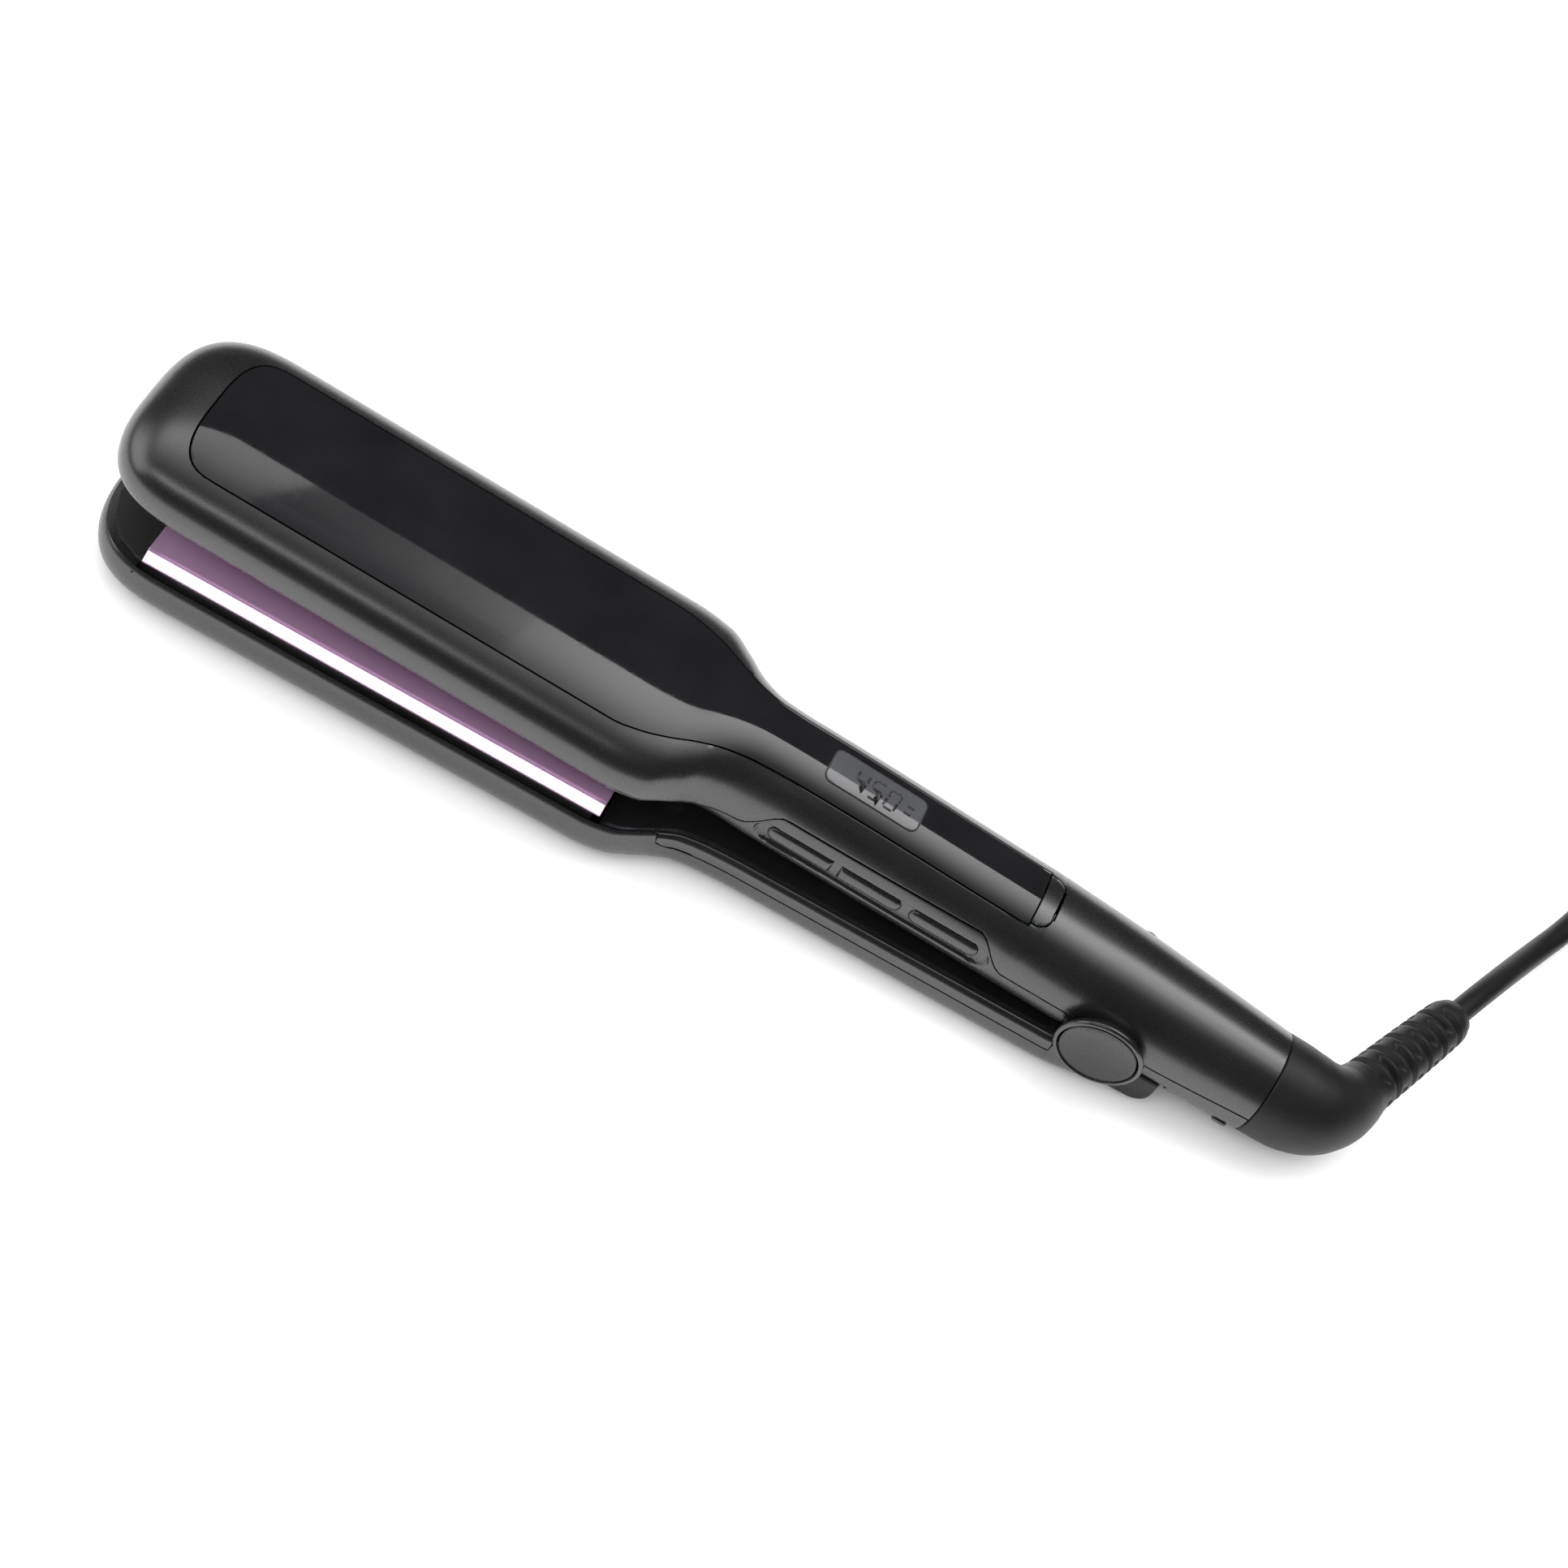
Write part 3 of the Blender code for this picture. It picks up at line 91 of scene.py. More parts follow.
# Tie and plug, in millimetres: the plug's stations are (y, half width, half height).
TIE_HALF = 3.0
TIE_CHAMFER = 0.2
TIE_REACH = (24.0, 46.8)
TIE_CLEAR = 1.3
TIE_TOP = 14.0
TIE_CORNER = 2.2
PLUG_X = 304.0
PLUG_Z = 7.0
PLUG_FRONT = ((50.0, 10.6, 5.6), (50.5, 11.5, 6.5), (51.2, 12.0, 7.0))
PLUG_GRIP = (52, 73)
PLUG_HALF = (12.0, 7.0)
PLUG_GROOVES = (58, 61, 64, 67)
PLUG_GROOVE = 0.5
PLUG_BACK = ((74.0, 11.4, 6.7), (75.2, 10.0, 6.2), (76.0, 8.2, 5.6), (76.6, 6.4, 5.3))
PLUG_ROUND_Y = 77.0
PLUG_SIDES = 40
RELIEF_START = 77.4
RELIEF_PITCH = 1.1
RELIEF_RINGS = 14
RELIEF_RADIUS = 5.4
RELIEF_TAPER = 1.9
RELIEF_RIB = 0.5
RELIEF_RIB_HALF = 0.25

# Arms, in millimetres from the hinge.
OPEN_ANGLE = math.radians(2.5)
HINGE = Vector((0.115, 0.0, 0.017))
NOSE_X = -217.5
NOSE_REACH = 25.0
NOSE_POWER = 3.0
NOSE_STEPS = 36
GAP = 0.42
WELD = 0.004
EDGE_ANGLE = math.radians(40)
STATION_STEP = 1.6
FRONT_STATIONS = (-104.5, -104.0, -103.5, -103.0)
COVER_COLUMNS = 26
PATCH_COLUMNS = 16

# Handle sections: (x, half width, height of the widest line, rise, reach below, rim height, power).
HANDLE_SECTIONS = (
    (-242.5, 25.6, 5.5, 10.8, 7.4, 3.0, 2.5),
    (-121.0, 25.6, 5.5, 10.8, 7.4, 3.0, 2.5),
    (-112.0, 24.4, 5.3, 11.1, 7.4, 2.4, 2.5),
    (-106.0, 20.8, 5.0, 11.7, 7.4, 1.6, 2.4),
    (-100.0, 16.6, 4.4, 12.5, 8.5, 0.2, 2.3),
    (-94.0, 14.8, 4.0, 13.0, 13.0, -0.8, 2.2),
    (-86.0, 14.3, 4.0, 13.0, 16.0, -1.8, 2.2),
    (-28.0, 14.2, 3.0, 12.2, 16.0, -2.4, 2.1),
    (-13.0, 14.1, 2.0, 12.3, 16.0, -2.4, 2.1),
    (0.0, 14.0, 1.2, 12.4, 10.0, 0.8, 2.0),
    (12.0, 13.6, 0.0, 12.6, 12.0, 0.0, 2.0),
    (35.7, 12.0, -1.25, 12.0, 12.0, 0.0, 2.0),
)
HANDLE_REAR = 35.7
SHELL_WALL = 1.2
PANEL_WALL = 1.3
TRIM_WALL = 0.9
HANDLE_SEAM = ((-104.5, 0.0), (-103.0, 1.8), (-98.0, 2.4), (-9.4, 2.2))
ISLAND_X = (-91.0, -26.0)
ISLAND_TOP = 9.4
ISLAND_EASE = 9.0
TRIM_X = (-104.5, -9.4)
TRIM_FLOOR = 0.8
TRIM_START = 0.3
TRIM_COLUMNS = 30
# Lip inside the trim: (inset, height) from its rim, and then from its floor.
TRIM_RIM = ((0.3, -0.12), (1.1, 0.0), (1.25, 0.3))
TRIM_FOOT = ((1.4, -0.2), (1.7, 0.0))
TRIM_FRONT_X = -118.0
TRIM_FRONT_INSET = 2.0
RECESS_X = (-84.0, -33.2)
RECESS_Z = 3.3
RECESS_HALF = 2.9
RECESS_DEPTH = 0.9
RECESS_EASE = 0.7

# Buttons: (piece, node, body, front end, rear end, round front, round rear).
BUTTONS = (
    ("button_temp_up", "temp_up_button", "temp_up", -84.3, -68.8, True, False),
    ("button_temp_down", "temp_down_button", "temp_down", -67.0, -51.8, False, True),
    ("button_power", "power_button", "power", -49.8, -32.9, True, True),
)
BUTTON_Z = 3.6
BUTTON_HALF = 2.0
BUTTON_DOME = (
    (0.0, -1.3), (0.0, 0.1), (0.08, 0.32), (0.22, 0.52), (0.45, 0.72), (0.8, 0.9), (1.2, 1.0),
    (1.7, 1.05),
)
BUTTON_CORNER = 0.35

# Top panel, display and end tab.
PANEL_PLAN = (
    (-228.1, 17.4), (-124.0, 17.4), (-118.0, 16.4), (-112.0, 14.4), (-106.0, 11.6),
    (-100.0, 9.4), (-94.0, 8.3), (-85.0, 7.9), (-27.4, 7.5),
)
PANEL_REAR = -27.4
PANEL_NOSE_X = -218.1
PANEL_NOSE_REACH = 10.0
PANEL_NOSE_POWER = 3.2
PANEL_SINK = 0.05
DISPLAY_CENTRE = (-68.9, 0.3)
DISPLAY_SIZE = (22.6, 9.2)
DISPLAY_CORNER = 1.8
DISPLAY_WALL = 0.5
GASKET_GROW = 0.3
LENS_GROW = -0.4
LENS_LIFT = 0.06
SEGMENTS = {"4": "bcfg", "5": "acdfg", "0": "abcdef"}
DIGITS = "450"
DIGIT_SIZE = (2.5, 5.0)
DIGIT_BAR = 0.55
DIGIT_PITCH = 3.9
DIGIT_START = -74.3
DIGIT_SLANT = 0.14
DIGIT_DROP = 0.4
DIGIT_LIFT = 0.09
DIGIT_THICK = 0.04
UNIT_BARS = ((0.6, 1.2, 2.2, 1.7), (0.6, 3.1, 2.2, 3.6))
TAB_X = (-27.0, -23.4)
TAB_HALF = 6.8
TAB_CORNER = 2.6
TAB_SINK = 0.02
CROWN_HALF = 4.2
CROWN_COLUMNS = 8

# Lower arm: (x, half width, rim) here; its other values are the same all along.  The full
# rows have the handle's columns, as depths below the hinge.
LOWER_WIDTHS = (
    (-242.5, 27.2, 2.3), (-120.0, 27.1, 2.3), (-113.0, 26.1, 2.3), (-108.7, 24.0, 2.5),
    (-103.0, 20.4, 2.9), (-99.0, 18.5, 3.2), (-92.0, 17.5, 3.4), (-85.0, 17.2, 3.4),
    (-11.0, 17.0, 3.4), (8.0, 14.0, 3.4),
)
LOWER_SECTIONS = [(x, half, 6.0, 11.3, 12.0, rim, 4.0) for x, half, rim in LOWER_WIDTHS]
LOWER_REAR = 6.0
REST_DEPTH = 17.0
LOWER_SEAM = ((-104.5, 2.6), (-103.4, 7.0), (-101.5, 8.2), (-94.0, 8.4), (-8.5, 8.4))
ROLL_INSET = 1.3
ROLL_TOP = 4.4
ROLL_BASE = 9.0
OPENING_FRONT = -227.4
LOWER_TRIM_X = (-115.8, -8.8)
CHANNEL_TOP = 4.8
CHANNEL_BASE = 7.6
CHANNEL_FALL = 0.5
CHANNEL_CREST = 1.7
CHANNEL_INNER = 3.1
CHANNEL_DECK = 6.9
CHANNEL_FILLET = 1.5
CHANNEL_START = (ROLL_INSET + SHELL_WALL, ROLL_TOP + 0.9)
CHANNEL_START_WALL = 0.6
CHANNEL_POINTS = (18, 34)
LOWER_STATIONS = (-104.5, -104.2, -103.8, -103.4, -102.6, -8.65, -8.35)
LOWER_POINTS = 40
DECK_STEPS = 4
DECK_FALL = 0.15
DECK_SPAN = 1.0

# Plates.
PLATE_CENTRE_X = -171.2
PLATE_HALF_LENGTH = 55.0
PLATE_FACE = 0.2
PLATE_BACK = 2.1
PLATE_FOLD = 2.55
PLATE_DROP = 1.7
# Rounded fold: (distance past it, depth added to the face and the slope).
PLATE_BEND = ((-0.8, 0.0), (-0.5, 0.02), (-0.25, 0.08), (0.0, 0.17), (0.25, 0.08), (0.5, 0.02))
PLATE_LIP = 0.3
PLATE_ROUND = 0.1
PLATE_END = 0.25
PLATE_SHRINK = 0.12
UPPER_PLATE_HALF = 23.4
LOWER_PLATE_HALF = 25.2

# Hinge, tail and boot.
CAP_FACE_Y = -17.8
CAP_BACK_Y = -14.5
CAP_BACK_RADIUS = 8.3
CAP_RADIUS = 10.1
CAP_RING = 1.5
CAP_DISH = 1.4
CAP_STEP = 0.15
CAP_GROOVE = 0.9
CAP_DISH_POWER = 2.6
CAP_HUB = 0.2
# Cap: (inset, depth under its face) at the rim, and (reach past the dish, depth) inside.
CAP_RIM = ((0.2, 1.3), (0.0, 1.0), (0.05, 0.55), (0.3, 0.2), (0.7, 0.0))
CAP_LIP = (
    (0.6, 0.05), (0.5, 0.2), (0.48, CAP_STEP + CAP_GROOVE), (0.02, CAP_STEP + CAP_GROOVE),
)
CAP_FLOOR = 0.1
CAP_SIDES = 96
BOWL_FLOOR = 0.08
BOWL_PLAY = 0.05
BOWL_RINGS = 20
BOWL_SPAN = 19.3
FAR_CAP_Y = 15.6
FAR_CAP_RADIUS = 3.2
FAR_CAP_THICK = 0.6
FAR_CAP_SUNK = 0.3
FAR_CAP_ROUND = 0.25
FAR_EAR_Y = (14.5, 15.3)
FAR_EAR_RADIUS = 3.4
FAR_EAR_BORE = 2.1
KNUCKLE_HALF = 12.4
KNUCKLE_X = (6.5, 16.2)
KNUCKLE_Z = (-15.6, -6.6)
KNUCKLE_RADIUS = 4.6
TAIL_STRIP_X = 8.6
TAIL_FRONT = 17.8
TAIL_STRIP_Z = -4.5
TAIL_AXIS_Z = -1.25
BOOT_BEND_START = 41.7
BOOT_BEND_RADIUS = 16.0
BOOT_BEND_ANGLE = math.radians(65)
BOOT_LENGTH = 60.8
BOOT_PROFILE = (
    (0.0, 12.0), (6.0, 11.9), (12.0, 11.2), (18.0, 9.4), (24.0, 7.3), (28.0, 6.5),
    (46.0, 6.0), (58.0, 5.5), (60.8, 4.6),
)
BOOT_RIBS = (27.0, 56.5)
BOOT_RIB_PITCH = 3.0
BOOT_RIB_DEPTH = 1.7
BOOT_SLOT_HALF = 0.27
BOOT_SLOT_EASE = 0.08
BOOT_BRIDGE = 0.30
BOOT_BRIDGE_EASE = 0.12
BOOT_STEP = 0.4
BOOT_SIDES = 40

# Stage, in metres: softboxes as (name, corners, glow at the first and last edge, fade).
WORLD_LEVEL = 0.04
SOFTBOXES = (
    # Overhead: the far edges are the bright line along the glossy panel.
    ("box_over", ((-0.20, -0.30, 1.0), (0.9, -0.30, 1.0), (0.9, 0.60, 1.0), (-0.20, 0.60, 1.0)),
     0.3, 5.0, 0.22),
    ("box_over_tip", ((-0.05, -0.2, 1.0), (-0.9, -0.2, 1.0), (-0.9, 0.60, 1.0), (-0.05, 0.60, 1.0)),
     0.4, 3.0, 0.22),
    # Low band in front: the streak along the near shoulder.
    ("box_front", ((0.06, -0.56, 0.80), (-0.8, -0.56, 0.80), (-0.8, -0.50, 0.94), (0.06, -0.50, 0.94)),
     4.2, 4.2, 0.25),
    # Faint glow on the skyline, fading upwards.
    ("box_low", ((0.9, -1.30, 0.02), (-1.2, -1.30, 0.02), (-1.2, -1.15, 0.60), (0.9, -1.15, 0.60)),
     0.25, 0.05, 0.2),
    # On the side of the tips.
    ("box_tip", ((-0.9, 0.45, 0.20), (-0.9, -0.55, 0.20), (-0.8, -0.55, 0.7), (-0.8, 0.45, 0.7)),
     2.2, 2.2, 0.4),
)
# Lights: (name, place, aim, size, power, whether it shows in reflections).
FLOOR_LIGHT = ("fill", (0.0, 0.0, 2.2), (0.0, 0.0, 0.0), (8.0, 8.0), 380, False)
PLATE_LIGHT = ("glint", (-0.12, -0.50, 0.72), (-0.06, 0.0, 0.02), (1.4, 0.45), 12.5, True)
FLOOR_REACH = 3.0
FLOOR_DROP = 0.0002
FLOOR_LOOK = {"Base Color": (0.92, 0.92, 0.92, 1.0), "Roughness": 0.9, "Specular IOR Level": 0.1}

# Looks: two colours, range of roughness, scale and height of the grain, and where they
# aren't the usual ones specular, metallic, stretch, and scale of the drift of colour.
LOOK_ROWS = {
    "satin_black_plastic": ((0.0045, 0.0045, 0.0048), (0.0065, 0.0065, 0.0068), (0.265, 0.295),
        3200.0, 0.018, 1.0),
    # Darker, less shiny copy of the black satin for the cap's dish: painted shade in the dish.
    "dish_satin": ((0.004, 0.004, 0.0043), (0.006, 0.006, 0.0063), (0.265, 0.295), 3200.0, 0.018, 0.6),
    "gloss_black_plastic": ((0.005, 0.005, 0.006), (0.008, 0.008, 0.009), (0.035, 0.07), 900.0, 0.008),
    "channel_black": ((0.006, 0.006, 0.007), (0.010, 0.010, 0.011), (0.16, 0.22), 2400.0, 0.05, 1.0),
    "display_lens": ((0.045, 0.046, 0.048), (0.060, 0.061, 0.064), (0.05, 0.09), 700.0, 0.01),
    "display_ink": ((0.014, 0.014, 0.015), (0.020, 0.020, 0.021), (0.25, 0.35), 900.0, 0.02),
    "ceramic_plate": ((0.40, 0.26, 0.39), (0.44, 0.29, 0.43), (0.17, 0.20), 1500.0, 0.002,
        0.5, 0.75, (0.25, 1.0, 1.0)),
    "heatproof_plastic": ((0.008, 0.008, 0.008), (0.013, 0.013, 0.013), (0.50, 0.65), 2400.0, 0.5),
    "heater_ceramic": ((0.60, 0.58, 0.52), (0.72, 0.70, 0.64), (0.5, 0.7), 1800.0, 0.3),
    "silicone": ((0.30, 0.05, 0.03), (0.38, 0.07, 0.05), (0.5, 0.65), 1500.0, 0.2),
    "circuit_board": ((0.012, 0.09, 0.035), (0.02, 0.15, 0.06), (0.3, 0.5), 900.0, 0.2,
        0.5, 0.0, (1.0, 1.0, 1.0), 900.0),
    "lead_sleeve": ((0.60, 0.60, 0.56), (0.75, 0.75, 0.72), (0.5, 0.7), 3000.0, 0.5,
        0.5, 0.0, (1.0, 3.0, 3.0)),
    "steel": ((0.50, 0.51, 0.53), (0.60, 0.61, 0.63), (0.22, 0.38), 2500.0, 0.15,
        0.5, 1.0, (1.0, 8.0, 1.0)),
    "cord_rubber": ((0.004, 0.004, 0.004), (0.007, 0.007, 0.007), (0.42, 0.52), 2600.0, 0.2, 0.32),
    "plug_blade": ((0.52, 0.44, 0.26), (0.64, 0.55, 0.34), (0.2, 0.35), 2200.0, 0.15,
        0.5, 1.0, (1.0, 0.2, 1.0)),
}


# ---------------- curves and sections

def slope_between(first, second, third):
    """Slope at the middle of three (x, value) points that makes no overshoot."""
    before = (second[1] - first[1]) / (second[0] - first[0])
    after = (third[1] - second[1]) / (third[0] - second[0])
    if before * after <= 0:
        return 0.0
    return 2 * before * after / (before + after)


def along(table, x, column):
    """One column of a table of sections, read at x as a smooth curve without overshoot."""
    points = [(row[0], row[column]) for row in table]
    x = min(max(x, points[0][0]), points[-1][0])
    index = max(i for i in range(len(points) - 1) if points[i][0] <= x)
    left = points[index]
    right = points[index + 1]
    start = slope_between(points[index - 1], left, right) if index > 0 else 0.0
    end = slope_between(left, right, points[index + 2]) if index + 2 < len(points) else (
        right[1] - left[1]) / (right[0] - left[0])
    span = right[0] - left[0]
    t = (x - left[0]) / span
    return ((2 * t**3 - 3 * t**2 + 1) * left[1] + (t**3 - 2 * t**2 + t) * span * start
            + (3 * t**2 - 2 * t**3) * right[1] + (t**3 - t**2) * span * end)


def straight(table, x):
    """A table of (x, value) points read at x along straight lines."""
    for (x0, v0), (x1, v1) in zip(table, table[1:]):
        if x <= x1:
            return v0 + (v1 - v0) * max(x - x0, 0.0) / (x1 - x0)
    return table[-1][1]


def ease(t):
    t = min(max(t, 0.0), 1.0)
    return t * t * (3 - 2 * t)


def spread(low, high, step, extra=()):
    """Evenly spaced values between two ends, with some extra ones, in rising order."""
    count = max(int(round((high - low) / step)), 1)
    values = {round(low + (high - low) * i / count, 4) for i in range(count + 1)}
    return sorted(values | {round(value, 4) for value in extra})


def resample(points, count):
    """The same open line as a number of evenly spaced points."""
    lengths = [0.0]
    for a, b in zip(points, points[1:]):
        lengths.append(lengths[-1] + math.dist(a, b))
    result = []
    index = 0
    for step in range(count):
        want = lengths[-1] * step / (count - 1)
        while index < len(points) - 2 and lengths[index + 1] < want:
            index += 1
        span = lengths[index + 1] - lengths[index]
        t = (want - lengths[index]) / span if span > 0 else 0.0
        result.append(tuple(p + (q - p) * t for p, q in zip(points[index], points[index + 1])))
    return result


def arc(first, last, steps):
    """The cosine and sine of evenly spaced angles from the first to the last."""
    angles = [first + (last - first) * k / steps for k in range(steps + 1)]
    return [(math.cos(angle), math.sin(angle)) for angle in angles]


def signed_power(value, power):
    return math.copysign(abs(value) ** power, value)


def section_at(table, x):
    """Half width, middle, rise, reach, rim and power of an arm at x."""
    return tuple(along(table, x, column) for column in range(1, 7))


def angle_at_height(section, height):
    _, middle, rise, reach, _, power = section
    share = (height - middle) / (rise if height > middle else reach)
    return math.asin(signed_power(min(max(share, -1.0), 1.0), power / 2))


def angle_at_out(section, out):
    return math.acos(min(max(out, 0.0), 1.0) ** (section[5] / 2))


def section_point(section, angle):
    """How far out (0 to 1) and how high a section is at an angle."""
    _, middle, rise, reach, _, power = section
    out = max(math.cos(angle), 0.0) ** (2 / power)
    up = signed_power(math.sin(angle), 2 / power)
    return out, middle + up * (rise if up > 0 else reach)


def section_line(section, first, last, steps):
    """Points of a section from one angle to another, as (share out, height)."""
    return [section_point(section, first + (last - first) * k / steps) for k in range(steps + 1)]


def plan_rows(table, stations):
    """Rays round a plan from the near rear corner over the nose to the far rear corner."""
    near = [(Vector((x, 0.0)), Vector((x, -along(table, x, 1)))) for x in reversed(stations)]
    half = -near[-1][1].y
    nose = []
    for step in range(1, NOSE_STEPS):
        angle = math.pi * step / NOSE_STEPS
        back = math.sin(angle) ** (2 / NOSE_POWER)
        side = -signed_power(math.cos(angle), 2 / NOSE_POWER)
        nose.append((Vector((NOSE_X, 0.0)), Vector((NOSE_X - NOSE_REACH * back, side * half))))
    far = [(centre, Vector((rim.x, -rim.y))) for centre, rim in reversed(near)]
    return near + nose + far


def top_height(x, y):
    """Height of the handle's outer surface over a point of its plan."""
    half, middle, rise, _, _, power = section_at(HANDLE_SECTIONS, max(x, NOSE_X))
    out = abs(y) / half
    if x < NOSE_X:
        out = (((NOSE_X - x) / NOSE_REACH) ** NOSE_POWER + out**NOSE_POWER) ** (1 / NOSE_POWER)
    return middle + rise * max(1 - out**power, 0.0) ** (1 / power)


# ---------------- pieces

def arm_matrix(tilt):
    return Matrix.Translation(HINGE) @ Matrix.Rotation(tilt, 4, "Y") @ Matrix.Scale(MM, 4)


def add_object(name, data):
    item = bpy.data.objects.new(name, data)
    bpy.context.scene.collection.objects.link(item)
    return item


def add_grid(shape, grid):
    verts = [[shape.verts.new(point) for point in row] for row in grid]
    for here, there in zip(verts, verts[1:]):
        for a, b, c, d in zip(here, here[1:], there[1:], there):
            shape.faces.new((a, b, c, d))


def grid_piece(name, grids, *look, **options):
    """A piece made of open grids, which are welded where they meet."""
    shape = bmesh.new()
    for grid in grids:
        add_grid(shape, grid)
    return make_piece(name, shape, *look, **options)


def ring_piece(name, rings, *look, capped=True, **options):
    """A piece made of closed rings joined into a tube, with its ends shut if it is capped."""
    shape = bmesh.new()
    verts = [[shape.verts.new(point) for point in ring] for ring in rings]
    for here, there in zip(verts, verts[1:]):
        for k in range(len(here)):
            shape.faces.new((here[k - 1], here[k], there[k], there[k - 1]))
    if capped:
        shape.faces.new(reversed(verts[0]))
        shape.faces.new(verts[-1])
    return make_piece(name, shape, *look, **options)


def turn_faces(shape, facing):
    """Wind all faces one way: outwards, or with most of the area facing up or down."""
    bmesh.ops.recalc_face_normals(shape, faces=shape.faces)
    if facing == 0:
        return
    total = sum(face.normal.z * face.calc_area() for face in shape.faces)
    if total * facing < 0:
        bmesh.ops.reverse_faces(shape, faces=shape.faces)


def add_modifier(piece, name, kind, **settings):
    modifier = piece.modifiers.new(name, kind)
    for key, value in settings.items():
        setattr(modifier, key, value)


def make_piece(name, shape, matrix, material, body, nodes=(), facing=0, wall=0.0, edge=0.0,
               slot=None):
    """Turn a shape drawn in millimetres into a piece of the model."""
    bmesh.ops.remove_doubles(shape, verts=shape.verts, dist=WELD)
    bmesh.ops.dissolve_degenerate(shape, edges=shape.edges, dist=WELD)
    turn_faces(shape, facing)
    bmesh.ops.transform(shape, matrix=matrix, verts=shape.verts)
    mesh = bpy.data.meshes.new(name)
    shape.to_mesh(mesh)
    shape.free()
    mesh.shade_smooth()
    mesh.materials.append(LOOKS[material])
    piece = add_object(name, mesh)
    if wall > 0:
        add_modifier(piece, "Wall", "SOLIDIFY", thickness=wall * MM, offset=-1.0, use_even_offset=True)
    if edge > 0:
        add_modifier(piece, "Edge", "BEVEL", width=edge * MM, segments=2, limit_method="ANGLE",
                     angle_limit=EDGE_ANGLE, use_clamp_overlap=True)
        add_modifier(piece, "Normals", "WEIGHTED_NORMAL", keep_sharp=True)
    if body:
        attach(piece, body)
    if nodes:
        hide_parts(*nodes)
    return piece


def lathe(name, profile, sign, sides, material, nodes=(), **options):
    """A round piece about the hinge from (radius, distance out) points; sign is its side of Y."""
    circle = arc(0.0, math.tau, sides)[:-1]
    rings = [[(radius * cosine, sign * out, radius * sine) for cosine, sine in circle]
             for radius, out in profile]
    ring_piece(name, rings, LOWER, material, "lower_arm", nodes, **options)


# ---------------- materials

def add_node(tree, kind, values=None, links=None):
    """A shader node with some inputs set and some joined to other nodes' outputs."""
    node = tree.nodes.new("ShaderNode" + kind)
    for name, value in (values or {}).items():
        node.inputs[name].default_value = value
    for name, output in (links or {}).items():
        tree.links.new(output, node.inputs[name])
    return node


def node_noise(tree, where, scale, detail):
    noise = add_node(tree, "TexNoise", {"Scale": scale, "Detail": detail}, {"Vector": where})
    return noise.outputs["Fac"]


def node_range(tree, value, low, high, start=0.3, end=0.7, blend="LINEAR"):
    limits = {"From Min": start, "From Max": end, "To Min": low, "To Max": high}
    node = add_node(tree, "MapRange", limits, {"Value": value})
    node.interpolation_type = blend
    return node.outputs["Result"]


def node_blend(tree, factor, first, second):
    mix = tree.nodes.new("ShaderNodeMix")
    mix.data_type = "RGBA"
    mix.inputs[6].default_value = (*first, 1.0)
    mix.inputs[7].default_value = (*second, 1.0)
    tree.links.new(factor, mix.inputs[0])
    return mix.outputs[2]


def surface(name, first, second, rough, grain, bump, specular=0.5, metallic=0.0,
            stretch=(1.0, 1.0, 1.0), broad=60.0):
    """A moulded or brushed surface: broad drift of colour, and fine grain in gloss and height."""
    material = bpy.data.materials.new(name)
    material.use_nodes = True
    tree = material.node_tree
    shader = tree.nodes["Principled BSDF"]
    place = add_node(tree, "TexCoord")
    scale = add_node(tree, "Mapping", {"Scale": stretch}, {"Vector": place.outputs["Object"]})
    where = scale.outputs["Vector"]
    fine = node_noise(tree, where, grain, 2.0)
    drift = node_range(tree, node_noise(tree, where, broad, 3.0), 0.0, 1.0)
    relief = add_node(tree, "Bump", {"Strength": bump, "Distance": 0.0001}, {"Height": fine})
    tree.links.new(node_blend(tree, drift, first, second), shader.inputs["Base Color"])
    tree.links.new(node_range(tree, fine, *rough), shader.inputs["Roughness"])
    tree.links.new(relief.outputs["Normal"], shader.inputs["Normal"])
    shader.inputs["Metallic"].default_value = metallic
    shader.inputs["Specular IOR Level"].default_value = specular
    return material


# ---------------- stage

def make_camera():
    data = bpy.data.cameras.new("camera")
    data.lens = LENS_MM
    data.sensor_width = SENSOR_MM
    camera = add_object("camera", data)
    axes = Matrix((EYE_RIGHT, -EYE_DOWN, -EYE_FORWARD)).transposed()
    camera.matrix_world = Matrix.Translation(EYE) @ axes.to_4x4()
    bpy.context.scene.camera = camera


def make_world(strength):
    world = bpy.data.worlds.new("studio")
    world.use_nodes = True
    back = world.node_tree.nodes["Background"]
    back.inputs["Color"].default_value = (1.0, 1.0, 1.0, 1.0)
    back.inputs["Strength"].default_value = strength
    bpy.context.scene.world = world


def area_light(name, place, aim, size, power, glossy):
    data = bpy.data.lights.new(name, "AREA")
    data.shape = "RECTANGLE"
    data.size, data.size_y = size
    data.energy = power
    light = add_object(name, data)
    light.location = place
    light.rotation_euler = (Vector(aim) - Vector(place)).to_track_quat("-Z", "Y").to_euler()
    light.visible_glossy = glossy
    return light


def add_sheet(name, corners):
    mesh = bpy.data.meshes.new(name)
    mesh.from_pydata(corners, [], [(0, 1, 2, 3)])
    return add_object(name, mesh)


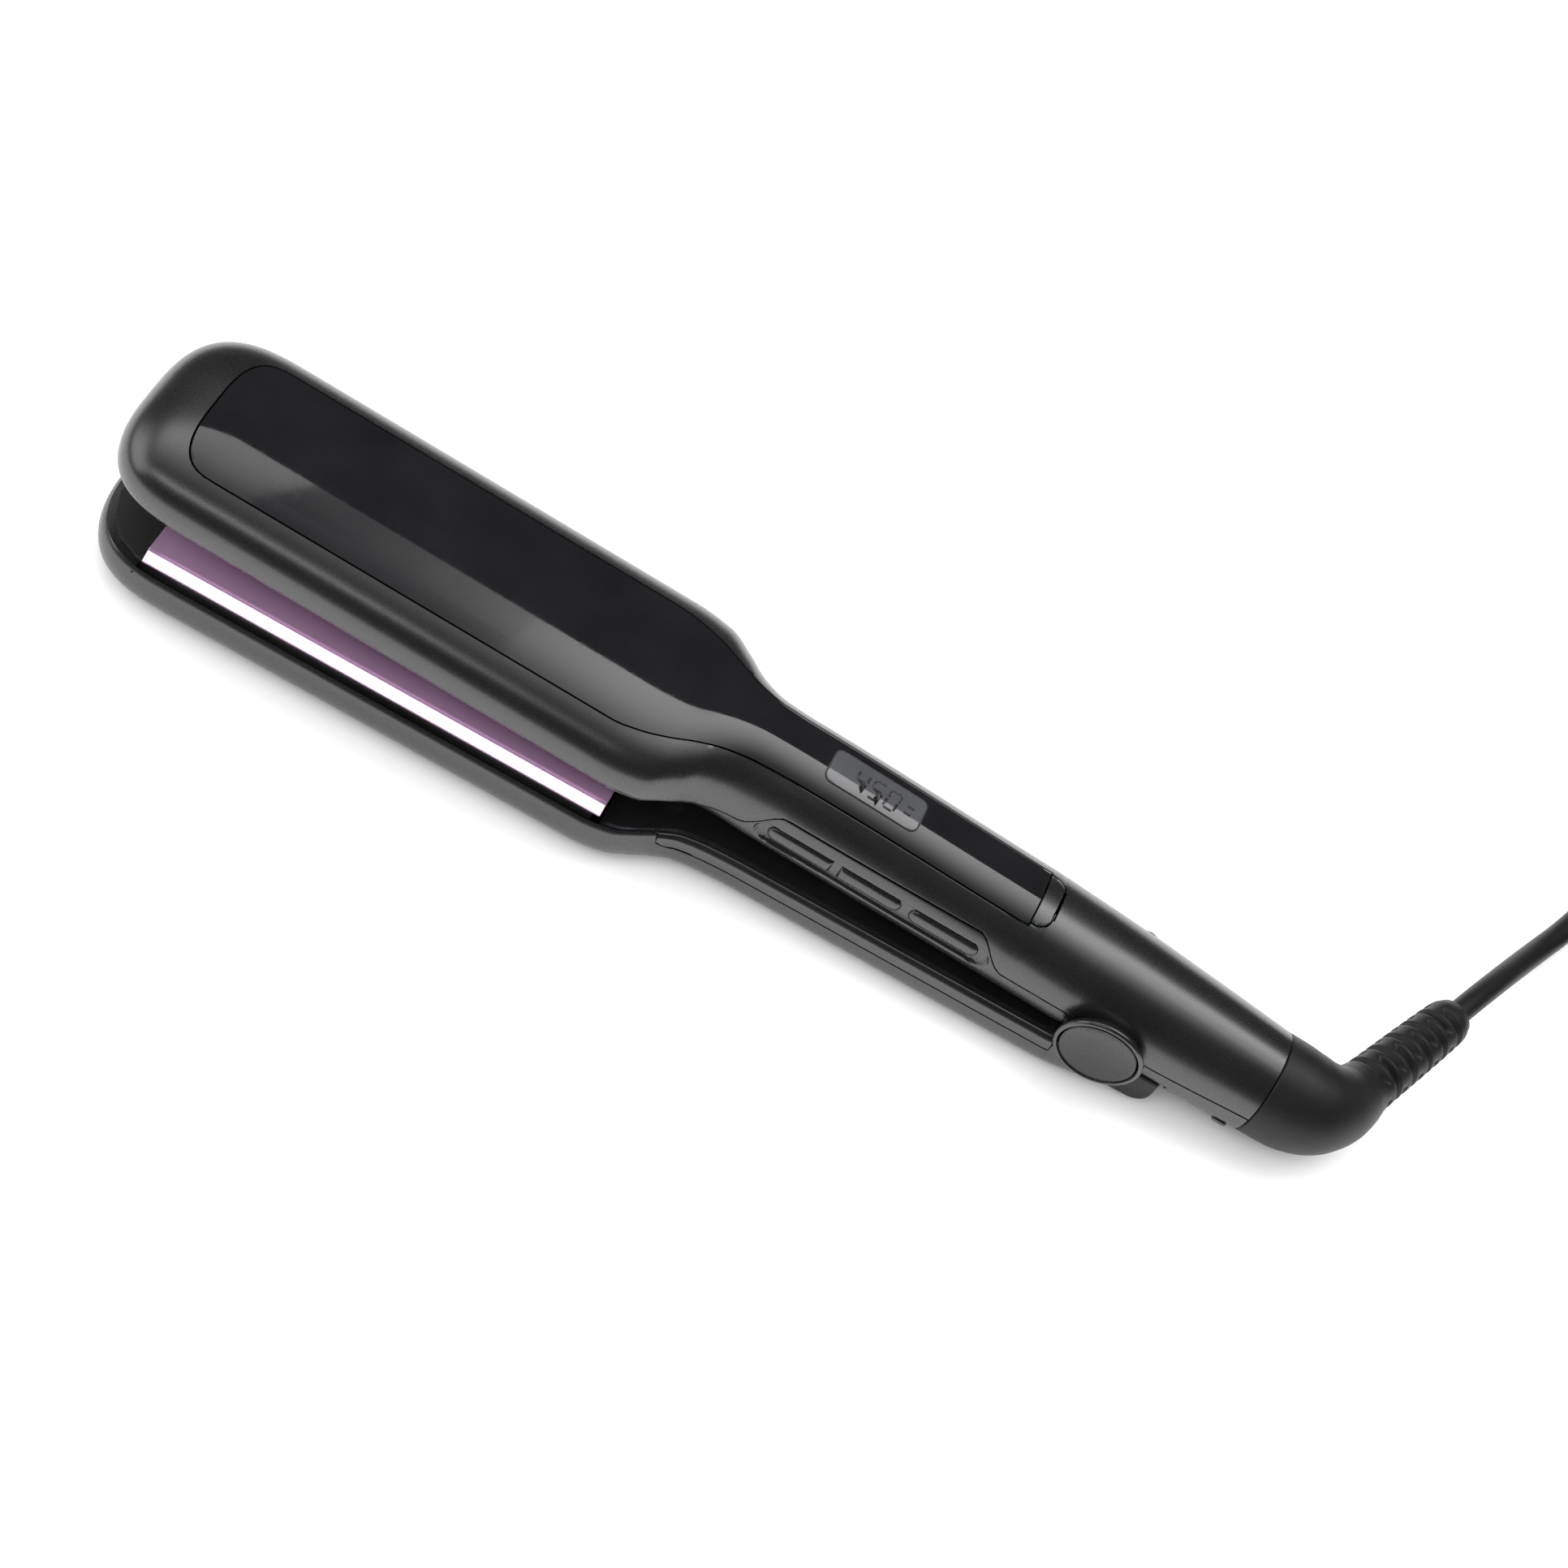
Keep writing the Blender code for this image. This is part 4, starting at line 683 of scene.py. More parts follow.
def softbox(name, corners, near_level, far_level, fade):
    """A glowing panel, unseen by the camera.

    Its glow changes from its first to its last edge, and rises from nothing at its first
    side over a share of its length.
    """
    panel = add_sheet(name, corners)
    layer = panel.data.uv_layers.new(name="UVMap")
    for loop, place in zip(layer.data, ((0, 0), (1, 0), (1, 1), (0, 1))):
        loop.uv = place
    material = bpy.data.materials.new(name)
    material.use_nodes = True
    tree = material.node_tree
    tree.nodes.clear()
    where = add_node(tree, "UVMap")
    split = add_node(tree, "SeparateXYZ", links={"Vector": where.outputs["UV"]})
    level = node_range(tree, split.outputs["Y"], near_level, far_level, 0.0, 1.0, "SMOOTHSTEP")
    rise = node_range(tree, split.outputs["X"], 0.0, 1.0, 0.0, fade, "SMOOTHSTEP")
    product = add_node(tree, "Math", links={0: level, 1: rise})
    product.operation = "MULTIPLY"
    glow = add_node(tree, "Emission", links={"Strength": product.outputs["Value"]})
    add_node(tree, "OutputMaterial", links={"Surface": glow.outputs["Emission"]})
    panel.data.materials.append(material)
    panel.visible_camera = False
    panel.visible_shadow = False


def make_floor():
    material = bpy.data.materials.new("floor")
    material.use_nodes = True
    shader = material.node_tree.nodes["Principled BSDF"]
    for name, value in FLOOR_LOOK.items():
        shader.inputs[name].default_value = value
    low, high = -FLOOR_REACH, FLOOR_REACH
    floor = add_sheet("floor", [(low, low, 0), (high, low, 0), (high, high, 0), (low, high, 0)])
    floor.data.materials.append(material)
    floor.location.z = -FLOOR_DROP


def make_stage(plates):
    """World, floor and softboxes, a light for the floor, and a light for the plates' folded edges."""
    make_world(WORLD_LEVEL)
    make_floor()
    for row in SOFTBOXES:
        softbox(*row)
    area_light(*FLOOR_LIGHT)
    glint = area_light(*PLATE_LIGHT)
    group = bpy.data.collections.new("plates")
    for plate in plates:
        group.objects.link(plate)
    glint.light_linking.receiver_collection = group


# ---------------- lead

def smooth_route(route, steps):
    """Points of a smooth curve (Catmull-Rom) through a list of points."""
    route = [Vector(point) for point in route]
    padded = [2 * route[0] - route[1]] + route + [2 * route[-1] - route[-2]]
    points = []
    for a, b, c, d in zip(padded, padded[1:], padded[2:], padded[3:]):
        for step in range(steps):
            t = step / steps
            points.append(0.5 * (2 * b + (c - a) * t + (2 * a - 5 * b + 4 * c - d) * t * t
                                 + (3 * b - a - 3 * c + d) * t**3))
    return points + [route[-1]]


def coil_points():
    """Clockwise turns: inwards along the surface, up at the inner edge, and outwards on top."""
    across = COIL_TURNS_ACROSS
    total = 2 * (across + COIL_CLIMB_TURNS)
    radii = ((0.0, COIL_OUTER), (across, COIL_INNER), (total - across, COIL_INNER), (total, COIL_OUTER))
    count = int(total * COIL_STEPS)
    points = []
    for step in range(count + 1):
        turn = total * step / count
        angle = math.pi - math.tau * turn
        radius = straight(radii, turn)
        away = (angle - TIE_ANGLE + math.pi) % math.tau - math.pi
        height = COIL_LOW + (COIL_HIGH - COIL_LOW) * ease((turn - across) / COIL_CLIMB_TURNS)
        height += TIE_BUMP * math.exp(-(away * radius / TIE_BUMP_REACH) ** 2)
        points.append(COIL_CENTRE + Vector((radius * math.cos(angle), radius * math.sin(angle), height)))
    return points


def tube_rings(points, radius, sides):
    """Rings of a round tube along points that never run straight up."""
    up = Vector((0.0, 0.0, 1.0))
    circle = arc(0.0, math.tau, sides)[:-1]
    rings = []
    for index, point in enumerate(points):
        before = points[max(index - 1, 0)]
        after = points[min(index + 1, len(points) - 1)]
        side = (after - before).normalized().cross(up).normalized()
        over = side.cross((after - before).normalized())
        rings.append([point + (side * cosine + over * sine) * radius for cosine, sine in circle])
    return rings


def make_lead():
    points = smooth_route(CORD_ROUTE, ROUTE_STEPS)[:-1] + coil_points()
    points += smooth_route(PLUG_ROUTE, ROUTE_STEPS)
    rings = tube_rings(points, CORD_DIAMETER / 2, CORD_SIDES)
    lead = ring_piece("lead", [[place / MM for place in ring] for ring in rings], TABLE, "cord_rubber",
                      None, ("cord_lead", "cord_coil", "cord_tail"))
    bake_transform(lead)


def make_tie():
    """A strap round the coil: a rounded loop in the Y-Z plane."""
    low_y = COIL_AT[1] + TIE_REACH[0] - TIE_CLEAR + TIE_CORNER
    high_y = COIL_AT[1] + TIE_REACH[1] + TIE_CLEAR - TIE_CORNER
    high_z = TIE_TOP - TIE_CORNER
    corners = ((high_y, TIE_CORNER), (high_y, high_z), (low_y, high_z), (low_y, TIE_CORNER))
    rings = []
    for x, inset in ((-TIE_HALF, TIE_CHAMFER), (TIE_CHAMFER - TIE_HALF, 0.0),
                     (TIE_HALF - TIE_CHAMFER, 0.0), (TIE_HALF, TIE_CHAMFER)):
        reach = TIE_CORNER - inset
        ring = []
        for quarter, (y, z) in enumerate(corners):
            start = math.pi / 2 * (quarter - 1)
            for cosine, sine in arc(start, start + math.pi / 2, 6):
                ring.append((COIL_AT[0] + x, y + reach * cosine, z + reach * sine))
        rings.append(ring)
    ring_piece("coil_tie", rings, TABLE, "cord_rubber", "handle", ("cord_tie",), capped=False,
               wall=TRIM_WALL)


def plug_ring(y, half_x, half_z):
    """A ring of the plug: square-sided on the body and round at the strain relief."""
    power = 2 / (2.0 + min(max(PLUG_ROUND_Y - y, 0.0), 2.0))
    return [(PLUG_X + half_x * signed_power(cosine, power), y,
             PLUG_Z + half_z * signed_power(sine, power))
            for cosine, sine in arc(0.0, math.tau, PLUG_SIDES)[:-1]]


def plug_stations():
    """The body with its finger grooves, and the ribbed strain relief."""
    stations = list(PLUG_FRONT)
    for y in range(*PLUG_GRIP):
        groove = PLUG_GROOVE if y in PLUG_GROOVES else 0.0
        stations.append((y, PLUG_HALF[0] - groove, PLUG_HALF[1]))
    stations += PLUG_BACK
    for k in range(RELIEF_RINGS):
        y = RELIEF_START + k * RELIEF_PITCH
        radius = RELIEF_RADIUS - RELIEF_TAPER * k / (RELIEF_RINGS - 1) - RELIEF_RIB * (k % 2)
        stations += [(y - RELIEF_RIB_HALF, radius, radius), (y + RELIEF_RIB_HALF, radius, radius)]
    return stations


def make_plug():
    rings = [plug_ring(*station) for station in plug_stations()]
    ring_piece("plug", rings, TABLE, "cord_rubber", "handle", ("plug_body",), edge=0.15)


# ---------------- handle shells

def seam_height(x, near):
    """Height of the handle's seam, which rises round the buttons on the near side."""
    base = straight(HANDLE_SEAM, x)
    rise = ease(min(x - ISLAND_X[0], ISLAND_X[1] - x) / ISLAND_EASE)
    return base + (ISLAND_TOP - base) * rise if near else base


def opening_half(x):
    """Half width of the opening in the cover: panel, then tab, then the crown's own strip."""
    if x < PANEL_REAR + GAP:
        return along(PANEL_PLAN, x, 1) + GAP
    corner = TAB_CORNER + GAP
    rear = TAB_X[1] + GAP
    if x < rear:
        into = max(x - (rear - corner), 0.0)
        return TAB_HALF + GAP - corner + math.sqrt(max(corner**2 - into**2, 0.0))
    return CROWN_HALF


def nose_opening(centre, rim):
    """Share of a nose ray at which it leaves the panel's opening."""
    low, high = 0.0, 1.0
    reach = PANEL_NOSE_REACH + GAP
    half = PANEL_PLAN[0][1] + GAP
    for _ in range(30):
        share = (low + high) / 2
        place = centre + (rim - centre) * share
        back = max(PANEL_NOSE_X - place.x, 0.0) / reach
        inside = back**PANEL_NOSE_POWER + (abs(place.y) / half) ** PANEL_NOSE_POWER < 1
        low, high = (share, high) if inside else (low, share)
    return low


def cover_line(centre, rim):
    """The cover along one ray of its plan, from its rim or the seam up to its opening."""
    section = section_at(HANDLE_SECTIONS, centre.x)
    low = section[4]
    if TRIM_X[0] <= centre.x <= TRIM_X[1]:
        low = max(low, seam_height(centre.x, rim.y < 0) + GAP / 2)
    edge = nose_opening(centre, rim) if rim.x < NOSE_X else opening_half(centre.x) / section[0]
    first = angle_at_height(section, low)
    line = []
    for out, height in section_line(section, first, angle_at_out(section, edge), COVER_COLUMNS):
        place = centre + (rim - centre) * out
        line.append((place.x, place.y, height))
    return line


def make_top_cover():
    front = PANEL_REAR + GAP
    rear = TAB_X[1] + GAP
    stations = spread(NOSE_X, HANDLE_REAR, STATION_STEP, FRONT_STATIONS + (
        front - 0.02, front + 0.02, rear - 0.3, rear - 0.05, rear, rear + 0.3,
        TRIM_X[1] - 0.15, TRIM_X[1] + 0.15))
    grid = [cover_line(centre, rim) for centre, rim in plan_rows(HANDLE_SECTIONS, stations)]
    crown = [(x, -CROWN_HALF, CROWN_HALF) for x in stations if x >= rear]
    grid_piece("cover_top", [grid, surface_grid(crown, CROWN_COLUMNS, 0.0)], HANDLE,
               "satin_black_plastic", "handle", ("top_cover",), facing=1, wall=SHELL_WALL, edge=0.22)


def surface_grid(rows, columns, lift):
    """A grid on the handle's outer surface from rows of (x, low y, high y)."""
    grid = []
    for x, low, high in rows:
        sides = [low + (high - low) * column / columns for column in range(columns + 1)]
        grid.append([(x, y, top_height(x, y) + lift) for y in sides])
    return grid


def make_panel():
    rows = []
    for step in range(19):
        angle = math.radians(90 - 5 * step)
        back = math.sin(angle) ** (2 / PANEL_NOSE_POWER)
        half = PANEL_PLAN[0][1] * max(math.cos(angle), 0.0) ** (2 / PANEL_NOSE_POWER)
        rows.append((PANEL_NOSE_X - PANEL_NOSE_REACH * back, -half, half))
    for x in spread(PANEL_NOSE_X, PANEL_REAR, 2.0)[1:]:
        half = along(PANEL_PLAN, x, 1)
        rows.append((x, -half, half))
    grid_piece("panel", [surface_grid(rows, 36, -PANEL_SINK)], HANDLE, "gloss_black_plastic", "handle",
               ("top_panel",), facing=1, wall=PANEL_WALL, edge=0.15)


def rounded_rows(centre, size, corner, round_front=True):
    """Rows of a rounded rectangle, or of a tab whose front end is straight."""
    half_x = size[0] / 2
    half_y = size[1] / 2
    back = [(half_x - corner * (1 - sine), half_y - corner * (1 - cosine))
            for cosine, sine in arc(0.0, math.pi / 2, 8)]
    front = [(-x, y) for x, y in reversed(back)] if round_front else [(-half_x, half_y)]
    middle = [(x, half_y) for x in spread(-half_x + corner, half_x - corner, 1.0)]
    line = front + middle[1:-1] + back
    return [(centre[0] + x, centre[1] - y, centre[1] + y) for x, y in line]


def display_grid(grow, lift):
    """The display's outline on the handle, grown or shrunk, and lifted off the surface."""
    size = (DISPLAY_SIZE[0] + grow, DISPLAY_SIZE[1] + grow)
    rows = rounded_rows(DISPLAY_CENTRE, size, DISPLAY_CORNER + grow / 2)
    return surface_grid(rows, PATCH_COLUMNS, lift)


def make_display():
    grid_piece("display_gasket", [display_grid(GASKET_GROW, 0.0)], HANDLE, "heatproof_plastic",
               "handle", facing=1, wall=DISPLAY_WALL)
    grid_piece("display_lens", [display_grid(LENS_GROW, LENS_LIFT)], HANDLE, "display_lens",
               "handle", ("display_window",), facing=1, wall=DISPLAY_WALL, edge=0.05)
    make_digits()


def bar_corners(name):
    """Opposite corners of one bar of a seven-bar digit."""
    wide, tall = DIGIT_SIZE
    half = DIGIT_BAR / 2
    flat = {"a": tall, "g": tall / 2, "d": 0.0}
    if name in flat:
        y = flat[name]
        return (half, y - half, wide - half, y + half)
    x = 0.0 if name in "ef" else wide
    low = 0.0 if name in "ec" else tall / 2
    return (x - half, low + half, x + half, low + tall / 2 - half)


def digit_point(x, y):
    """A point of the slanted digits, a little above the handle's surface."""
    x += y * DIGIT_SLANT
    y += DISPLAY_CENTRE[1] - DIGIT_SIZE[1] / 2 - DIGIT_DROP
    return (x, y, top_height(x, y) + DIGIT_LIFT)


def make_digits():
    bars = []
    for index, digit in enumerate(DIGITS):
        left = DIGIT_START + index * DIGIT_PITCH
        for name in SEGMENTS[digit]:
            x0, y0, x1, y1 = bar_corners(name)
            bars.append((left + x0, y0, left + x1, y1))
    end = DIGIT_START + len(DIGITS) * DIGIT_PITCH
    bars += [(end + x0, y0, end + x1, y1) for x0, y0, x1, y1 in UNIT_BARS]
    grids = [[[digit_point(x, y) for x in (x0, x1)] for y in (y0, y1)] for x0, y0, x1, y1 in bars]
    grid_piece("display_digits", grids, HANDLE, "display_ink", "handle", facing=1, wall=DIGIT_THICK,
               slot="display_lens")


def make_tab():
    centre = ((TAB_X[0] + TAB_X[1]) / 2, 0.0)
    size = (TAB_X[1] - TAB_X[0], 2 * TAB_HALF)
    rows = rounded_rows(centre, size, TAB_CORNER, round_front=False)
    grid_piece("end_tab", [surface_grid(rows, PATCH_COLUMNS, -TAB_SINK)], HANDLE,
               "satin_black_plastic", "handle", ("panel_end_tab",), facing=1, wall=PANEL_WALL, edge=0.2)


def recess_depth(x, z):
    """How far the side is sunk round the buttons."""
    nearest = min(max(x, RECESS_X[0]), RECESS_X[1])
    away = math.hypot(x - nearest, z - RECESS_Z) - RECESS_HALF
    return RECESS_DEPTH * ease(0.5 - away / RECESS_EASE)


def trim_side(x, near):
    """The trim's outer side at x from its rim up to the seam, as (distance out, height)."""
    section = section_at(HANDLE_SECTIONS, x)
    low = section[4]
    top = max(seam_height(x, near) - GAP / 2, low + 0.02)
    first = angle_at_height(section, low)
    last = angle_at_height(section, top)
    line = []
    for out, height in section_line(section, first, last, TRIM_COLUMNS):
        sunk = recess_depth(x, height) if near else 0.0
        line.append((section[0] * out - sunk, height))
    return line


def trim_line(x):
    """The trim's section at x: far side, far lip, floor, near lip and near side."""
    near = [(-wide, height) for wide, height in trim_side(x, True)]
    far = trim_side(x, False)
    edge, rim = far[0]
    lip = [(edge - inset, rim + up) for inset, up in TRIM_RIM]
    lip += [(edge - inset, TRIM_FLOOR + up) for inset, up in TRIM_FOOT]
    floor = [(lip[-1][0] * (1 - k / 5), TRIM_FLOOR) for k in range(1, 10)]
    near_lip = [(-y, z) for y, z in reversed(lip)]
    return [(x, y, z) for y, z in far[::-1] + lip + floor + near_lip + near]


def make_handle_trim():
    start = TRIM_X[0] + TRIM_START
    grid = [trim_line(x) for x in spread(start, TRIM_X[1], 0.5)]
    front = []
    for x in spread(TRIM_FRONT_X, start, 1.5):
        half = along(HANDLE_SECTIONS, x, 1) - TRIM_FRONT_INSET
        front.append([(x, half * k / 6, TRIM_FLOOR) for k in range(-6, 7)])
    grid_piece("side_trim", [grid, front], HANDLE, "satin_black_plastic", "handle", ("handle_trim",),
               facing=-1, wall=TRIM_WALL, edge=0.18)


def button_outline(front, rear, round_front, round_rear, inset):
    """A pill, or a pill with one straight end, drawn a little inside its outline."""
    half = BUTTON_HALF - inset
    points = []
    ends = ((rear - inset, 1, round_rear), (front + inset, -1, round_front))
    for end, sign, is_round in ends:
        radius = half if is_round else min(BUTTON_CORNER, half)
        middle = half - radius
        for k in range(13):
            angle = -math.pi / 2 + math.pi * k / 12
            shift = middle if k > 6 else -middle
            points.append((end - sign * radius + sign * radius * math.cos(angle),
                           sign * (shift + radius * math.sin(angle))))
    return points


def button_ring(outline, proud):
    """An outline set on the floor of the recess and raised by a height."""
    ring = []
    for x, up in outline:
        z = BUTTON_Z + up
        section = section_at(HANDLE_SECTIONS, x)
        out, _ = section_point(section, angle_at_height(section, z))
        ring.append((x, -(section[0] * out - RECESS_DEPTH + proud), z))
    return ring


def make_buttons():
    for piece, node, body, *outline in BUTTONS:
        rings = [button_ring(button_outline(*outline, inset), proud) for inset, proud in BUTTON_DOME]
        ring_piece(piece, rings, HANDLE, "satin_black_plastic", body, (node,))


# ---------------- plates

def plate_profile(half):
    """The plate's section as (y, depth), with its long edges folded down."""
    fold = half - PLATE_FOLD
    slope = PLATE_DROP / PLATE_FOLD
    low = PLATE_FACE + PLATE_DROP
    face = [(fold + past, PLATE_FACE + depth + max(past, 0.0) * slope) for past, depth in PLATE_BEND]
    face += [(half - PLATE_LIP, low - PLATE_LIP * slope), (half - PLATE_ROUND, low),
             (half, low + PLATE_ROUND)]
    return [(-y, z) for y, z in reversed(face)] + face + [(half, PLATE_BACK), (-half, PLATE_BACK)]


def make_plate(piece, node, body, matrix, side, half):
    """A plate with rounded ends; side is +1 over the gap and -1 under it."""
    rings = []
    for x, shrink in ((-PLATE_HALF_LENGTH, PLATE_SHRINK), (PLATE_END - PLATE_HALF_LENGTH, 0.0),
                      (PLATE_HALF_LENGTH - PLATE_END, 0.0), (PLATE_HALF_LENGTH, PLATE_SHRINK)):
        ring = []
        for y, depth in plate_profile(half):
            y -= math.copysign(shrink, y)
            depth += shrink if depth < PLATE_BACK else -shrink
            ring.append((PLATE_CENTRE_X + x, y, side * depth))
        rings.append(ring)
    return ring_piece(piece, rings, matrix, "ceramic_plate", body, (node,), edge=0.1)


# ---------------- lower arm

def lower_side(x, length):
    """The lower arm's outside from its rolled rim to the middle of its base, as (inset, depth)."""
    section = section_at(LOWER_SECTIONS, x)
    line = [(ROLL_INSET * (1 - cosine), ROLL_BASE - (ROLL_BASE - ROLL_TOP) * sine)
            for cosine, sine in arc(math.pi / 2, 0.0, 12)[:-1]]
    first = angle_at_height(section, ROLL_BASE)
    for out, depth in section_line(section, first, math.pi / 2, 24):
        line.append((length * (1 - out), min(depth, REST_DEPTH)))
    return line


def below(line, depth):
    """The rest of a line after it first passes a depth."""
    for index, (a, b) in enumerate(zip(line, line[1:])):
        if b[1] > depth:
            t = max((depth - a[1]) / (b[1] - a[1]), 0.0)
            return [(a[0] + (b[0] - a[0]) * t, a[1] + (b[1] - a[1]) * t)] + line[index + 1:]
    return line


def deck_line(rim, inwards, length, start):
    """Points from the opening in the nose to the rim's first point; elsewhere that point again."""
    if rim.x >= OPENING_FRONT + DECK_SPAN:
        return [start] * DECK_STEPS
    top = rim + inwards * start[0]
    share = (OPENING_FRONT - top.x) / inwards.x if abs(inwards.x) > 0.01 else 0.0
    share = min(max(share, 0.0), length)
    left = [1 - k / DECK_STEPS for k in range(DECK_STEPS)]
    return [(start[0] + share * part, start[1] + DECK_FALL * part) for part in left]


def make_lower_cover():
    grid = []
    stations = spread(NOSE_X, LOWER_REAR, STATION_STEP, LOWER_STATIONS)
    for centre, rim in plan_rows(LOWER_SECTIONS, stations):
        x = centre.x
        length = (centre - rim).length
        inwards = (centre - rim).normalized()
        line = lower_side(x, length)
        if LOWER_SEAM[0][0] <= x <= LOWER_SEAM[-1][0]:
            line = below(line, straight(LOWER_SEAM, x) + GAP / 2)
        line = resample(line, LOWER_POINTS)
        line = deck_line(rim, inwards, length, line[0]) + line
        grid.append([(*(rim + inwards * inset), -depth) for inset, depth in line])
    grid_piece("cover_lower", [grid], LOWER, "satin_black_plastic", "lower_arm", ("lower_cover",),
               facing=-1, wall=SHELL_WALL, edge=0.2)


def make_far_ear():
    """The ring that holds the far end of the hinge pin."""
    inner, outer = FAR_EAR_Y
    profile = [(FAR_EAR_BORE, inner), (FAR_EAR_RADIUS, inner), (FAR_EAR_RADIUS, outer),
               (FAR_EAR_BORE, outer)]
    lathe("far_ear", profile, 1, 72, "heatproof_plastic", edge=0.1)


def channel_wall():
    """The inside of the channel's wall, from its crest to its steep face."""
    wide = CHANNEL_INNER - CHANNEL_CREST
    return [(CHANNEL_CREST + wide * sine, CHANNEL_TOP + CHANNEL_FALL * (1 - cosine))
            for cosine, sine in arc(0.0, math.pi / 2, 8)]


def channel_floor(wall, half):
    """The fillet from a wall to the channel's deck, and the deck up to the middle line."""
    line = [(wall + CHANNEL_FILLET * (1 - cosine), CHANNEL_DECK - CHANNEL_FILLET * (1 - sine))
            for cosine, sine in arc(0.0, math.pi / 2, 8)]
    return line + [(half, CHANNEL_DECK)]


def channel_outside(x, half):
    """The channel wall's outside from the seam up to its crest."""
    section = section_at(LOWER_SECTIONS, x)
    seam = straight(LOWER_SEAM, x) - GAP / 2
    tall = CHANNEL_BASE - CHANNEL_TOP
    line = [(CHANNEL_CREST * (1 - cosine), CHANNEL_BASE - tall * sine)
            for cosine, sine in arc(math.pi / 2, 0.0, 24)]
    for k in range(1, 6):
        depth = CHANNEL_BASE + (ROLL_BASE - CHANNEL_BASE) * k / 5
        out, _ = section_point(section, angle_at_height(section, depth))
        line.append((half * (1 - out), depth))
    kept = [point for point in line if point[1] <= max(seam, CHANNEL_TOP + 0.02)]
    return list(reversed(kept))


def make_lower_trim():
    """The channel; in front of its seam it starts inside the cover's rolled rim."""
    outer_points, inner_points = CHANNEL_POINTS
    grid = []
    for x in spread(*LOWER_TRIM_X, 0.9, FRONT_STATIONS):
        half = along(LOWER_SECTIONS, x, 1)
        if x < LOWER_SEAM[0][0]:
            inside = [CHANNEL_START] + channel_floor(CHANNEL_START[0] + CHANNEL_START_WALL, half)
            outside = [CHANNEL_START] * outer_points
        else:
            inside = channel_wall() + channel_floor(CHANNEL_INNER, half)
            outside = resample(channel_outside(x, half), outer_points)
        line = outside + resample(inside, inner_points)
        near = [(x, -(half - inset), -depth) for inset, depth in line]
        far = [(x, half - inset, -depth) for inset, depth in reversed(line)]
        grid.append(near + far)
    grid_piece("channel_trim", [grid], LOWER, "channel_black", "lower_arm", ("lower_trim",),
               facing=1, wall=TRIM_WALL, edge=0.12, slot="gloss_black_plastic")


# ---------------- hinge

def make_caps():
    """The near cap with its dished middle, and the small far cap."""
    dish = CAP_RADIUS - CAP_RING
    face = -CAP_FACE_Y
    floor = face - CAP_STEP - CAP_DISH
    profile = [(CAP_HUB, -CAP_BACK_Y), (CAP_BACK_RADIUS, -CAP_BACK_Y)]
    profile += [(CAP_RADIUS - inset, face - depth) for inset, depth in CAP_RIM]
    profile += [(dish + past, face - depth) for past, depth in CAP_LIP]
    profile += [(dish, floor - CAP_FLOOR), (CAP_HUB, floor - CAP_FLOOR)]
    lathe("cap_near", profile, -1, CAP_SIDES, "satin_black_plastic", ("hinge_cap_near",))
    bowl = [(CAP_HUB, floor - BOWL_FLOOR), (dish - BOWL_PLAY, floor - BOWL_FLOOR)]
    for k in range(BOWL_RINGS):
        radius = dish * (1 - k / BOWL_SPAN) - BOWL_PLAY
        bowl.append((radius, face - CAP_STEP - CAP_DISH * (1 - (radius / dish) ** CAP_DISH_POWER)))
    # Painted shade: the dish gets the darker, less shiny copy of the satin.
    lathe("cap_dish", bowl, -1, CAP_SIDES, "dish_satin", slot="satin_black_plastic")
    back = FAR_CAP_Y - FAR_CAP_SUNK
    front = FAR_CAP_Y + FAR_CAP_THICK
    far = [(CAP_HUB, back), (FAR_CAP_RADIUS, back), (FAR_CAP_RADIUS, front - FAR_CAP_ROUND),
           (FAR_CAP_RADIUS - FAR_CAP_ROUND, front), (CAP_HUB, front)]
    lathe("cap_far", far, 1, 48, "satin_black_plastic", ("hinge_cap_far",))


def make_knuckle_end():
    """The visible rounded rear end of the hinge block, between the arm's side walls."""
    front, rear = KNUCKLE_X
    low, high = KNUCKLE_Z
    radius = KNUCKLE_RADIUS
    outline = [(front, high), (front, low)]
    for cosine, sine in arc(-math.pi / 2, 0.0, 12):
        outline.append((rear - radius + radius * cosine, low + radius + radius * sine))
    outline.append((rear, high))
    rings = [[(x, y, z) for x, z in outline] for y in (-KNUCKLE_HALF, KNUCKLE_HALF)]
    ring_piece("knuckle_end", rings, LOWER, "heatproof_plastic", "lower_arm", edge=0.8)


# ---------------- tail and boot

def tail_angle(x, height):
    _, middle, _, drop, _, _ = section_at(HANDLE_SECTIONS, x)
    return math.asin(max((height - middle) / drop, -1.0))


def tail_line(x, first, last, steps):
    """Part of the tail's lower half on the near side, between two angles below its middle."""
    half, middle, _, drop, _, _ = section_at(HANDLE_SECTIONS, x)
    return [(x, -half * cosine, middle + drop * sine) for cosine, sine in arc(first, last, steps)]


def make_rear_cover():
    """The tail's underside: a full shell behind the arm's end, and a strip on each side of it."""
    body = []
    strip = []
    for x in spread(TAIL_STRIP_X, HANDLE_REAR, 1.0, (TAIL_FRONT,)):
        step = tail_angle(x, TAIL_STRIP_Z)
        upper = tail_line(x, tail_angle(x, -GAP), step, 5)
        if x >= TAIL_FRONT:
            near = upper + tail_line(x, step, -math.pi / 2, 14)[1:]
            body.append(near + [(px, -py, pz) for px, py, pz in reversed(near[:-1])])
        if x <= TAIL_FRONT:
            strip.append(upper)
    shape = bmesh.new()
    for grid in (body, strip, [[(x, -y, z) for x, y, z in line] for line in strip]):
        add_grid(shape, grid)
    shape.faces.new([shape.verts.new(point) for point in body[0][5:-5]])
    make_piece("tail_cover", shape, HANDLE, "satin_black_plastic", "handle", ("rear_cover",),
               facing=-1, wall=SHELL_WALL, edge=0.2)


